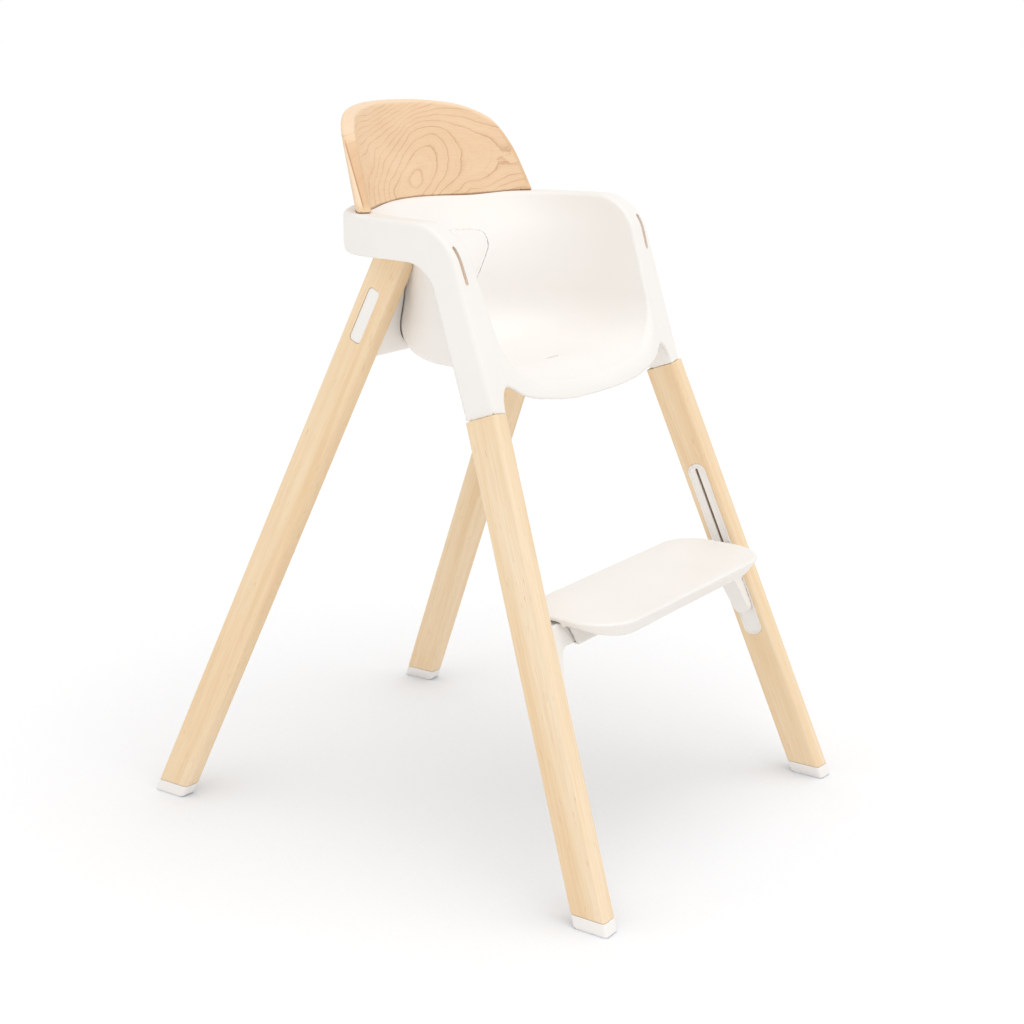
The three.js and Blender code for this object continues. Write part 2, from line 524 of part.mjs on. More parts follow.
// Bosses on the back of the bowl stand in the yoke.
const YOKE_FRONT_Y = REAR_FOOT.y + REAR_SLOPE.y * YOKE_SCREW.z;
const bossEnd = YOKE_FRONT_Y + 5;
const boss = solid(rod(new THREE.Vector3(YOKE_SCREW.x, 45, YOKE_SCREW.z),
  new THREE.Vector3(YOKE_SCREW.x, bossEnd, YOKE_SCREW.z), YOKE_SCREW.boss, 12));
const bossHole = solid(rod(new THREE.Vector3(YOKE_SCREW.x, YOKE_SCREW.tipY - 0.5, YOKE_SCREW.z),
  new THREE.Vector3(YOKE_SCREW.x, REACH, YOKE_SCREW.z), YOKE_SCREW.shank + FIT, 8));

// Sockets and bolt holes for the front legs.
const frontAlong = alongOf(FRONT_FRAME);
const socketEnd = solid(legPrism(FRONT_FRAME, polygon([[-14, -60], [40, -60], [40, 60], [-14, 60]]),
  FRONT_SHOULDER - 120, FRONT_SHOULDER + FIT));
const socketHole = solid(legPrism(FRONT_FRAME,
  roundedRectangle(TENON.thick + 2 * FIT, TENON.wide + 2 * FIT, 2),
  FRONT_SHOULDER - PAST, FRONT_SHOULDER + TENON.length + 1));
const FRONT_BOLT_SEAT = 14.6;
const FRONT_NUT_U = -2;
const boltHole = solid(rod(pointIn(FRONT_FRAME, 0, FRONT_NUT_U - 6.5, FRONT_BOLT.at),
  pointIn(FRONT_FRAME, 0, 60, FRONT_BOLT.at), FRONT_BOLT.shank + FIT, 10));
const boltSink = solid(rod(pointIn(FRONT_FRAME, 0, FRONT_BOLT_SEAT, FRONT_BOLT.at),
  pointIn(FRONT_FRAME, 0, 60, FRONT_BOLT.at), FRONT_BOLT.head + FIT, 12));
const frontBolt = screw(pointIn(FRONT_FRAME, 0, FRONT_BOLT_SEAT + FIT, FRONT_BOLT.at),
  backOf(FRONT_FRAME).negate(), { ...FRONT_BOLT, length: FRONT_BOLT_SEAT + FIT - FRONT_NUT_U + 5.5 });

// Slots in the arms' front faces for a tray.
const traySlot = solid(lean(box(TRAY_SLOT.x - TRAY_SLOT.wide / 2, TRAY_SLOT.x + TRAY_SLOT.wide / 2,
  FRONT_Y - 20, FRONT_Y + TRAY_SLOT.deep, TRAY_SLOT.z0, TRAY_SLOT.z1), FRONT_TILT, FRONT_Z));
const crotchSlot = solid(box(-CROTCH_SLOT.length / 2, CROTCH_SLOT.length / 2,
  CROTCH_SLOT.y - CROTCH_SLOT.wide / 2, CROTCH_SLOT.y + CROTCH_SLOT.wide / 2,
  CROTCH_SLOT.z - 4 * PAST, CROTCH_SLOT.z + 2 * PAST));

// Hatch: an inlay in the bowl's back wall, flush inside.
const hatchShape = (grow) => polygon([
  ...HATCH.map(([x, z]) => [x * (1 + grow), HATCH_CENTRE + (z - HATCH_CENTRE) * (1 + grow)]),
  ...HATCH.slice(1).reverse().map(([x, z]) => [-x * (1 + grow), HATCH_CENTRE + (z - HATCH_CENTRE) * (1 + grow)]),
]);
const hatchRecess = common(bowlSolid(HATCH_THICK + FIT), solid(frontPrism(hatchShape(HATCH_GROW), 20, 140)));
const hatch = cut(common(bowlSolid(HATCH_THICK), solid(frontPrism(hatchShape(0), 20, 140))), bowlInside);

const seatShell = cut(
  join(
    armsAndBand,
    frontSheet,
    common(bowlOutside, behindFront, layer(SHELL_FOOT, RIM_HEIGHT)),
    backPocket,
    bothSides(legRibs),
    bothSides(boss)),
  bowlInside,
  hatchRecess,
  backSlot,
  backScrewHoles,
  backScrewSinks,
  crotchSlot,
  bothSides(join(socketEnd, socketHole, boltHole, boltSink)),
  bothSides(traySlot),
  bothSides(bossHole));

// ================================================================ backrest
const backOutline = [[TONGUE_HALF, BACK_BASE], [TONGUE_HALF, RIM_HEIGHT + FIT], [BACK_HALF, RIM_HEIGHT + FIT],
  ...BACK_OUTLINE];
const backrest = cut(
  common(
    backSector(BACK_RADIUS, BACK_REAR, BACK_HALF + 4, BACK_BASE, BACK_TOP + PAST, 24),
    backFan([...backOutline, ...mirroredOutline(backOutline)])),
  backScrewHoles);
const backScrews = BACK_SCREW_ANGLES.map((degrees) =>
  screw(backScrewPoint(degrees, BACK_SCREW_SEAT), backAxis, BACK_SCREW));

// ================================================================ legs
const aboveCaps = layer(CAP_HEIGHT, 2 * REACH);
const spigotShape = (grow) => roundedRectangle(CAP_SPIGOT.thick + 2 * grow, CAP_SPIGOT.wide + 2 * grow, 2);

// The cap wears the leg's own section and plugs into its end.
function footCap(frame, section, slope) {
  const stretch = Math.hypot(1, slope.x, slope.y);
  const top = CAP_HEIGHT * stretch;
  return join(
    common(solid(legPrism(frame, section, -60, 60)), layer(0, CAP_HEIGHT - FIT)),
    common(solid(legPrism(frame, spigotShape(0), -60, top + CAP_SPIGOT.length)), layer(CAP_HEIGHT / 2, REACH)));
}
const spigotHole = (frame) => solid(legPrism(frame, spigotShape(FIT), -60, CAP_HEIGHT + CAP_SPIGOT.length + 3));

const frontSection = roundedRectangle(FRONT_THICK, FRONT_WIDE, LEG_CORNER);
const rearSection = roundedRectangle(REAR_THICK, REAR_WIDE, LEG_CORNER);
const nutHole = solid(rod(pointIn(FRONT_FRAME, -REACH / 10, FRONT_NUT_U, FRONT_BOLT.at),
  pointIn(FRONT_FRAME, REACH / 10, FRONT_NUT_U, FRONT_BOLT.at), BARREL_NUT.radius + FIT, 12));

const trackMiddle = (TRACK.from + TRACK.to) / 2;
const innerFace = -FRONT_THICK / 2;
const trackShape = (grow) => roundedRectangle(TRACK.wide + 2 * grow, TRACK.to - TRACK.from + 2 * grow,
  TRACK.corner + grow, 0, trackMiddle);

const frontLeg = cut(
  join(
    solid(legPrism(FRONT_FRAME, frontSection, -60, FRONT_SHOULDER)),
    solid(legPrism(FRONT_FRAME, roundedRectangle(TENON.thick, TENON.wide, 2),
      FRONT_SHOULDER - PAST, FRONT_SHOULDER + TENON.length))).intersect(aboveCaps),
  spigotHole(FRONT_FRAME),
  boltHole,
  nutHole,
  solid(legSidePrism(FRONT_FRAME, trackShape(FIT), innerFace - TRACK.proud - PAST, innerFace + TRACK.deep + FIT)));
const frontCap = footCap(FRONT_FRAME, frontSection, FRONT_SLOPE);

const frontNut = cut(
  solid(rod(pointIn(FRONT_FRAME, -BARREL_NUT.length / 2, FRONT_NUT_U, FRONT_BOLT.at),
    pointIn(FRONT_FRAME, BARREL_NUT.length / 2, FRONT_NUT_U, FRONT_BOLT.at), BARREL_NUT.radius, 12)),
  boltHole);

const outerFace = REAR_THICK / 2;
const coverMiddle = (REAR_BOLTS[0] + REAR_BOLTS[1]) / 2;
const coverLength = REAR_BOLTS[1] - REAR_BOLTS[0] + 2 * COVER.over;
const coverShape = (grow) => roundedRectangle(COVER.wide + 2 * grow, coverLength + 2 * grow,
  COVER.corner + grow, COVER.u, coverMiddle);
const coverBack = outerFace - COVER.sink - COVER.thick;
const headSeat = coverBack - FIT - REAR_BOLT.headHeight - FIT;
const rearBoltHole = (s) => solid(rod(pointIn(REAR_FRAME, headSeat - REAR_BOLT.length - 1, COVER.u, s),
  pointIn(REAR_FRAME, outerFace + PAST, COVER.u, s), REAR_BOLT.shank + FIT, 10));
const rearBoltSink = (s) => solid(rod(pointIn(REAR_FRAME, headSeat, COVER.u, s),
  pointIn(REAR_FRAME, outerFace + PAST, COVER.u, s), REAR_BOLT.head + FIT, 12));

const rearLeg = cut(
  common(solid(legPrism(REAR_FRAME, rearSection, -60, REAR_TOP * REAR_ALONG + 60)), layer(CAP_HEIGHT, REAR_TOP)),
  spigotHole(REAR_FRAME),
  solid(legSidePrism(REAR_FRAME, coverShape(COVER.gap), coverBack - FIT, outerFace + PAST)),
  ...REAR_BOLTS.flatMap((s) => [rearBoltHole(s), rearBoltSink(s)]),
  bowlSolid(SHELL_WALL + 3 * FIT));
const rearCap = footCap(REAR_FRAME, rearSection, REAR_SLOPE);
const rearCover = solid(legSidePrism(REAR_FRAME, coverShape(0), coverBack, coverBack + COVER.thick));
const rearBolts = REAR_BOLTS.map((s) =>
  screw(pointIn(REAR_FRAME, headSeat + FIT, COVER.u, s), outOf(REAR_FRAME).negate(), REAR_BOLT));

// ================================================================ yoke

// The yoke is flat in the plane of the rear legs: (X, along) drawn, thickness backwards.
const yokeStretch = Math.hypot(1, REAR_SLOPE.y);
const yokeFrame = new THREE.Matrix4().makeBasis(
  new THREE.Vector3(1, 0, 0),
  new THREE.Vector3(0, REAR_SLOPE.y, 1).normalize(),
  new THREE.Vector3(0, -1, -REAR_SLOPE.y * -1).normalize()).setPosition(0, REAR_FOOT.y, 0);
const legInnerX = (z) => REAR_FOOT.x + REAR_SLOPE.x * z - outerFace + 1;   // just inside the leg
const legWithGap = solid(legPrism(REAR_FRAME, roundedRectangle(REAR_THICK + 2 * FIT, REAR_WIDE + 2 * FIT, LEG_CORNER),
  YOKE.bottom - 60, REAR_TOP * REAR_ALONG + 60));
function yokeShape() {
  const [b, m, t] = [YOKE.bottom, YOKE.barTop, YOKE.earTop].map((z) => z * yokeStretch);
  const shape = new THREE.Shape();
  shape.moveTo(-legInnerX(YOKE.bottom), b);
  shape.lineTo(legInnerX(YOKE.bottom), b);
  shape.lineTo(legInnerX(YOKE.earTop), t);
  shape.lineTo(legInnerX(YOKE.earTop) - YOKE.ear, t);
  shape.lineTo(legInnerX(YOKE.barTop) - YOKE.ear - 2, m + YOKE.corner);
  shape.quadraticCurveTo(legInnerX(YOKE.barTop) - YOKE.ear, m, legInnerX(YOKE.barTop) - YOKE.ear - YOKE.corner, m);
  shape.lineTo(-legInnerX(YOKE.barTop) + YOKE.ear + YOKE.corner, m);
  shape.quadraticCurveTo(-legInnerX(YOKE.barTop) + YOKE.ear, m, -legInnerX(YOKE.barTop) + YOKE.ear + 2, m + YOKE.corner);
  shape.lineTo(-legInnerX(YOKE.earTop) + YOKE.ear, t);
  shape.lineTo(-legInnerX(YOKE.earTop), t);
  return shape;
}
const yokeHead = YOKE_FRONT_Y + 18;
const yokeScrewAt = (y) => new THREE.Vector3(YOKE_SCREW.x, y, YOKE_SCREW.z);
const rearYoke = cut(
  solid(prism(yokeShape(), -YOKE.rear, 0, 6).applyMatrix4(yokeFrame)),
  bowlSolid(SHELL_WALL + 1),
  bothSides(legWithGap),
  bothSides(join(...REAR_BOLTS.map(rearBoltHole))),
  bothSides(solid(rod(yokeScrewAt(30), yokeScrewAt(bossEnd + FIT), YOKE_SCREW.boss + FIT, 12))),
  bothSides(bossHole),
  bothSides(solid(rod(yokeScrewAt(yokeHead), yokeScrewAt(200), YOKE_SCREW.head + FIT, 12))));
const yokeScrew = screw(yokeScrewAt(yokeHead + FIT), new THREE.Vector3(0, -1, 0),
  { ...YOKE_SCREW, length: yokeHead + FIT - YOKE_SCREW.tipY });

// ================================================================ footrest
const trackTop = innerFace - TRACK.proud;
const trackFloor = trackTop + TRACK.sunk;
const channelFront = trackFloor + TRACK_CHANNEL.face;
const slotShape = (wide, from, to) => roundedRectangle(wide, to - from, wide / 2 - 0.01, 0, (from + to) / 2);
const track = cut(
  solid(legSidePrism(FRONT_FRAME, trackShape(0), trackTop, innerFace + TRACK.deep)),
  solid(legSidePrism(FRONT_FRAME, trackShape(-TRACK.rim), trackTop - PAST, trackFloor)),
  solid(legSidePrism(FRONT_FRAME, slotShape(TRACK_SLOT.wide, TRACK_SLOT.from, TRACK_SLOT.to),
    trackTop - PAST, channelFront + 1)),
  solid(legSidePrism(FRONT_FRAME, polygon([
    [-TRACK_CHANNEL.wide / 2, TRACK_CHANNEL.from], [TRACK_CHANNEL.wide / 2, TRACK_CHANNEL.from],
    [TRACK_CHANNEL.wide / 2, TRACK_CHANNEL.to], [-TRACK_CHANNEL.wide / 2, TRACK_CHANNEL.to]]),
  channelFront, innerFace + TRACK.deep + PAST)));

const tongueBack = trackFloor - FIT;
const neckEnd = tongueBack - SLIDER.intoTongue;
const rectangle = (x0, x1, y0, y1) => polygon([[x0, y0], [x1, y0], [x1, y1], [x0, y1]]);
const pinDepth = (tongueBack + neckEnd) / 2 - 0.5;
const pinsAlong = (radius, half) => SLIDER_PINS.map((s) => solid(rod(
  pointIn(FRONT_FRAME, pinDepth, -half, s), pointIn(FRONT_FRAME, pinDepth, half, s), radius, 8)));
const slider = cut(
  join(
    solid(legSidePrism(FRONT_FRAME, rectangle(-SLIDER.head / 2, SLIDER.head / 2, SLIDER.from, SLIDER.to),
      channelFront + LOOSE, channelFront + LOOSE + SLIDER.headThick)),
    solid(legSidePrism(FRONT_FRAME, rectangle(-SLIDER.neck / 2, SLIDER.neck / 2, SLIDER.from, SLIDER.to),
      neckEnd, channelFront + LOOSE + 1))),
  ...pinsAlong(PIN.radius + FIT, REACH / 10));
const sliderPins = pinsAlong(PIN.radius, PIN.length / 2);

// Carriage: a tongue on the track with a bar that reaches into the board's housing.
const barY = FRONT_FOOT.y + FRONT_SLOPE.y * (ARM_BAR.bottom + ARM_BAR.top) / 2;
const carriageOutline = polygon([[tongueBack, TONGUE.from],
  ...TONGUE_FRONT.map(([proud, drop]) => [innerFace - proud, fromBoard(drop)]),
  [tongueBack, fromBoard(TONGUE_TOP)]]);
const carriage = cut(
  join(
    common(
      solid(frontPrism(carriageOutline, -TONGUE.wide / 2, TONGUE.wide / 2).applyMatrix4(FRONT_FRAME)),
      solid(legSidePrism(FRONT_FRAME, roundedRectangle(TONGUE.wide, REACH, TONGUE.corner, 0,
        TONGUE.from + REACH / 2), -REACH, REACH))),
    solid(box(ARM_BAR.from, ARM_BAR.to, barY - ARM_BAR.half, barY + ARM_BAR.half, ARM_BAR.bottom, ARM_BAR.top))),
  solid(box(0, ARM_BAR.to + 4, -REACH, 0, 0, ARM_BAR.bottom)),
  solid(legSidePrism(FRONT_FRAME, rectangle(-SLIDER.neck / 2 - FIT, SLIDER.neck / 2 + FIT,
    SLIDER.from - FIT, SLIDER.to + FIT), neckEnd - FIT, tongueBack + PAST)),
  ...pinsAlong(PIN.radius + FIT, PIN.length / 2 + FIT));

function boardPlan(inset) {
  const [half, front, back] = [BOARD_HALF - inset, BOARD_FRONT + inset, BOARD_BACK - inset];
  const [frontCorner, backCorner] = [BOARD_FRONT_CORNER - inset, BOARD_BACK_CORNER - inset];
  const shape = new THREE.Shape();
  shape.moveTo(-half + frontCorner, front);
  shape.lineTo(half - frontCorner, front);
  shape.absarc(half - frontCorner, front + frontCorner, frontCorner, -Math.PI / 2, 0);
  shape.lineTo(half, back - backCorner);
  shape.absarc(half - backCorner, back - backCorner, backCorner, 0, Math.PI / 2);
  shape.lineTo(-half + backCorner, back);
  shape.absarc(-half + backCorner, back - backCorner, backCorner, Math.PI / 2, Math.PI);
  shape.lineTo(-half, front + frontCorner);
  shape.absarc(-half + frontCorner, front + frontCorner, frontCorner, Math.PI, 1.5 * Math.PI);
  return shape;
}
const boardEndZ = BOARD_UNDER.at(-1)[1];
const belowBoard = solid(frontPrism(polygon([...mirroredOutline(BOARD_UNDER), ...BOARD_UNDER,
  [REACH, boardEndZ], [REACH, 0], [-REACH, 0], [-REACH, boardEndZ]]), -REACH, REACH));
const underCut = solid(sidePrism(polygon([
  [BOARD_FRONT - PAST, BOARD_TOP - BOARD_UNDERCUT.edge], [BOARD_FRONT, BOARD_TOP - BOARD_UNDERCUT.edge],
  [BOARD_FRONT + BOARD_UNDERCUT.run, BOARD_UNDER[0][1] - 1], [BOARD_FRONT + BOARD_UNDERCUT.run, 0],
  [BOARD_FRONT - PAST, 0]]), -REACH, REACH));
const housing = solid(box(HOUSING.from, BOARD_HALF, barY - HOUSING.ahead, barY + HOUSING.behind,
  HOUSING.bottom, BOARD_TOP - 1));
const housingHole = solid(box(HOUSING.from + HOUSING.wall, REACH, barY - HOUSING.ahead + HOUSING.wall,
  barY + HOUSING.behind - HOUSING.wall, ARM_BAR.bottom - LOOSE, BOARD_TOP - BOARD_FLOOR - LOOSE));
const aroundBar = solid(frontPrism(polygon([[HOUSING_END[0][0] - 2, HOUSING.bottom - PAST], ...HOUSING_END,
  [REACH, HOUSING_END.at(-1)[1]], [REACH, HOUSING.bottom - PAST]]), barY - HOUSING.ahead - 12,
barY + HOUSING.behind + 12));
const footrestBoard = cut(
  join(
    cut(solid(prism(boardPlan(0), HOUSING.bottom, BOARD_TOP, 10)), belowBoard, underCut,
      solid(prism(boardPlan(BOARD_SKIRT), HOUSING.bottom - PAST, BOARD_TOP - BOARD_FLOOR, 10))),
    bothSides(common(housing, solid(prism(boardPlan(2), HOUSING.bottom - PAST, BOARD_TOP, 10))))),
  bothSides(housingHole),
  bothSides(aroundBar));

// ================================================================ the chair
const chair = new THREE.Group();

function addMesh(name, geometry, look) {
  const mesh = new THREE.Mesh(geometry, new THREE.MeshStandardMaterial(look));
  mesh.name = name;
  chair.add(mesh);
}

const add = (name, body, look) => addMesh(name, geometryOf(body), look);

// A left piece and its mirror image on the right.
function addPair(name, body, look) {
  const geometry = geometryOf(body);
  addMesh(`${name}_left`, geometry, look);
  addMesh(`${name}_right`, mirrored(geometry), look);
}

add('seat_shell', seatShell, PLASTIC);
add('harness_hatch', hatch, PLASTIC_COVER);
add('backrest', backrest, BEECH_PLY);
backScrews.forEach((body, i) => add(`backrest_screw_${i + 1}`, body, STEEL));
addPair('front_leg', frontLeg, BEECH);
addPair('rear_leg', rearLeg, BEECH);
addPair('front_foot_cap', frontCap, RUBBER);
addPair('rear_foot_cap', rearCap, RUBBER);
addPair('front_leg_bolt', frontBolt, STEEL);
addPair('front_leg_barrel_nut', frontNut, STEEL);
add('rear_yoke', rearYoke, PLASTIC);
addPair('rear_leg_lower_bolt', rearBolts[0], STEEL);
addPair('rear_leg_upper_bolt', rearBolts[1], STEEL);
addPair('yoke_screw', yokeScrew, STEEL);
addPair('rear_leg_cover', rearCover, PLASTIC_COVER);
addPair('footrest_track', track, PLASTIC_COVER);
add('footrest_board', footrestBoard, PLASTIC);
addPair('footrest_carriage', carriage, PLASTIC);
addPair('footrest_slider', slider, ACETAL);
addPair('slider_lower_pin', sliderPins[0], STEEL);
addPair('slider_upper_pin', sliderPins[1], STEEL);

export default chair;
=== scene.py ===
# Baby high chair: splayed wooden legs, a moulded seat shell, a bent wooden backrest and
# a footrest that slides on tracks in the front legs. Shapes are worked out in millimetres,
# with -Y the front, X = 0 the plane of symmetry and Z = 0 the floor.
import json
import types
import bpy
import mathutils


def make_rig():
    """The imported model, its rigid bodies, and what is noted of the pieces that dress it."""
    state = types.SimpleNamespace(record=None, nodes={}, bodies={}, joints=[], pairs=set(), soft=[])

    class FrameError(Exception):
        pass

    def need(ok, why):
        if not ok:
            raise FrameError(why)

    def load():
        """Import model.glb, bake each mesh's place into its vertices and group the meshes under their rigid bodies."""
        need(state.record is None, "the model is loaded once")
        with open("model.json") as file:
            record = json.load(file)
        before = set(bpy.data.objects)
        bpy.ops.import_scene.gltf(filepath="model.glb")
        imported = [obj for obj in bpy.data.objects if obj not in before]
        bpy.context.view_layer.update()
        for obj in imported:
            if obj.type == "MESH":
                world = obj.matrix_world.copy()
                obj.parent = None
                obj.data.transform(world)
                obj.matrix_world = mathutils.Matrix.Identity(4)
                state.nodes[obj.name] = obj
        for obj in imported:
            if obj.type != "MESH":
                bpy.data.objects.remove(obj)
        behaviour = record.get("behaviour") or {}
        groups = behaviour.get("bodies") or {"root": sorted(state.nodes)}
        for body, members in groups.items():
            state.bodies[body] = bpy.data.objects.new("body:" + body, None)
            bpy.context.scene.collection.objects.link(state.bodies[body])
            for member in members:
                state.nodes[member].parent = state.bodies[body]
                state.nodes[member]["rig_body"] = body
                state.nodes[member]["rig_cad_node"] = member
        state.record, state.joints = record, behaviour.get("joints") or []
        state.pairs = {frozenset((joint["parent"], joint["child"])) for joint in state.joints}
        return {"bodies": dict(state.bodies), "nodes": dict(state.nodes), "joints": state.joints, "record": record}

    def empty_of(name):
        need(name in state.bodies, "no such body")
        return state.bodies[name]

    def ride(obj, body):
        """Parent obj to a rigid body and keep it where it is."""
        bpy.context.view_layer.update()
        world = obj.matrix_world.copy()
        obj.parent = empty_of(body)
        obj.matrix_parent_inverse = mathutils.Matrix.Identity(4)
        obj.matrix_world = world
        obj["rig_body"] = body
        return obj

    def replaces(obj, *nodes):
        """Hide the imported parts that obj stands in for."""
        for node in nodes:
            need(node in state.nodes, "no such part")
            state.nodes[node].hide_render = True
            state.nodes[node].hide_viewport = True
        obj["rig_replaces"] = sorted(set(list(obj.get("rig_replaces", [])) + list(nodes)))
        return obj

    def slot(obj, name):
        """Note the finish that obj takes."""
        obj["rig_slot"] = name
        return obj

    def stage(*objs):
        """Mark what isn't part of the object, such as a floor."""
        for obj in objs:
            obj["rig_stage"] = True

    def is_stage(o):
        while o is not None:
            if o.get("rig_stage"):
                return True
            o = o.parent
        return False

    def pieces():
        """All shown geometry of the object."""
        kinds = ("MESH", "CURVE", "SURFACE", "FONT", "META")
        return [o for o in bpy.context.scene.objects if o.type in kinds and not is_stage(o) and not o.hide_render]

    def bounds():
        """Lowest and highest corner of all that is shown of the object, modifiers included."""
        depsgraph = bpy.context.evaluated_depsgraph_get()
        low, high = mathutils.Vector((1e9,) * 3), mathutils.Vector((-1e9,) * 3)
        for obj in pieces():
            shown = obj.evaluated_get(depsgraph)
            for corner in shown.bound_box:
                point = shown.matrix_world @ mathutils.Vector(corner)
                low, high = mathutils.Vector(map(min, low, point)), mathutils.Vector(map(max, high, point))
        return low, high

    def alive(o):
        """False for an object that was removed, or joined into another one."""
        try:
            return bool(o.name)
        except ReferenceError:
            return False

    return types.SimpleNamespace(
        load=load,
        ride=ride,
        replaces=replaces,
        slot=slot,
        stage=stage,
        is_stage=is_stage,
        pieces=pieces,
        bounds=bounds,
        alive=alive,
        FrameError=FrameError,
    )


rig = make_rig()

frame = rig.load()

import json
import bpy
import numpy as np
from mathutils import Matrix, Vector

cad_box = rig.bounds()
MM = 0.001

# ================================================================ foot caps
# Four white rubber shoes, each pushed over the lower end of a leg. They are moulded to the
# leg's section and lean with it, and their lower edge is bevelled, most at the back.
FRONT_FOOT, FRONT_SLOPE = (258.501, -316.428, 0), (-0.1314, 0.3669)
REAR_FOOT, REAR_SLOPE = (254.963, 316.433, 0), (-0.1327, -0.4327)
FRONT_SECTION, REAR_SECTION = (23.8, 42.6), (22.9, 43.8)
LEG_CORNER = 4.5
CAP_SOLE, CAP_BEVEL, CAP_SHOULDER, CAP_TOP = 0.05, 2.2, 14.2, 14.7      # heights


def leg_frame(foot, slope):
    """Frame of a leg that goes from its foot by slope (x, y) for each step up: local x
    outwards, y backwards and z along the leg."""
    along = Vector((slope[0], slope[1], 1)).normalized()
    back = (Vector((0, 1, 0)) - along * along.y).normalized()
    out = back.cross(along)
    turn = Matrix((out, back, along)).transposed().to_4x4()
    return Matrix.Translation(Vector(foot)) @ turn


FRONT_FRAME = leg_frame(FRONT_FOOT, FRONT_SLOPE)
REAR_FRAME = leg_frame(REAR_FOOT, REAR_SLOPE)


def rounded_ring(width, height, radius, steps=6):
    """Points round a rectangle with rounded corners, anticlockwise: a quarter circle about
    each corner's centre."""
    w, h = width / 2 - radius, height / 2 - radius
    turn = np.linspace(0, np.pi / 2, steps + 1)
    corners = ((1, 1, 0), (-1, 1, np.pi / 2), (-1, -1, np.pi), (1, -1, 1.5 * np.pi))
    return np.vstack([
        np.stack([across * w + radius * np.cos(turn + start), up * h + radius * np.sin(turn + start)], axis=1)
        for across, up, start in corners])


def level_ring(axes, ring, height):
    """The section ring where the leg crosses a level height: the length s along the leg at
    which x out + y back + s along comes to that height."""
    out, back, along = (np.array(axes.col[k][:3]) for k in range(3))
    s = (height - ring[:, 0] * out[2] - ring[:, 1] * back[2]) / along[2]
    return np.column_stack([ring, s])


def tube(rings):
    """Points and faces of a closed skin over equal rings, with a fan over each end."""
    rings = [np.asarray(ring, float) for ring in rings]
    n = len(rings[0])
    points = np.vstack(rings + [rings[0].mean(axis=0)[None], rings[-1].mean(axis=0)[None]])
    k = np.arange(n)
    nxt = (k + 1) % n
    side = [np.stack([k + i * n, nxt + i * n, nxt + (i + 1) * n, k + (i + 1) * n], axis=1)
            for i in range(len(rings) - 1)]
    quads = np.vstack(side)
    first, last = len(rings) * n, len(rings) * n + 1
    top = (len(rings) - 1) * n
    tris = np.vstack([np.stack([nxt, k, np.full(n, first)], axis=1),
                      np.stack([k + top, nxt + top, np.full(n, last)], axis=1)])
    split = np.vstack([quads[:, [0, 1, 2]], quads[:, [0, 2, 3]]])
    return points, np.vstack([split, tris])


def mesh_object(name, points, faces, axes=None):
    """Smooth mesh object from points in millimetres, which may be in a leg's own axes."""
    points = np.asarray(points, float)
    if axes is not None:
        points = points @ np.array(axes.to_3x3()).T + np.array(axes.translation)
    faces = np.asarray(faces, np.int32)
    count, corners = faces.shape
    starts = np.arange(0, count * corners, corners, dtype=np.int32)
    mesh = bpy.data.meshes.new(name)
    mesh.vertices.add(len(points))
    mesh.vertices.foreach_set("co", (points * MM).astype(np.float32).ravel())
    mesh.loops.add(count * corners)
    mesh.loops.foreach_set("vertex_index", faces.ravel())
    mesh.polygons.add(count)
    mesh.polygons.foreach_set("loop_start", starts)
    mesh.update(calc_edges=True)
    mesh.polygons.foreach_set("use_smooth", np.ones(count, bool))
    obj = bpy.data.objects.new(name, mesh)
    bpy.context.scene.collection.objects.link(obj)
    return obj


def mirror_object(obj, name):
    """Mirror image of an object in the plane X = 0, with its faces turned back."""
    twin = bpy.data.objects.new(name, obj.data.copy())
    twin.data.name = name
    bpy.context.scene.collection.objects.link(twin)
    twin.data.transform(Matrix.Scale(-1, 4, (1, 0, 0)))
    twin.data.flip_normals()
    return twin


def smooth_by_angle(obj, degrees=32):
    """Crease the smooth shading where two faces meet at more than the angle."""
    obj.data.set_sharp_from_angle(angle=np.radians(degrees))
    return obj


def linear(red, green, blue):
    """Linear colour with alpha from 0-255 screen values."""
    screen = np.array([red, green, blue]) / 255
    value = np.where(screen <= 0.04045, screen / 12.92, ((screen + 0.055) / 1.055) ** 2.4)
    return (*value.tolist(), 1.0)


def grey(value):
    """Grey colour, or a plain factor, of one linear value."""
    return (value, value, value, 1.0)


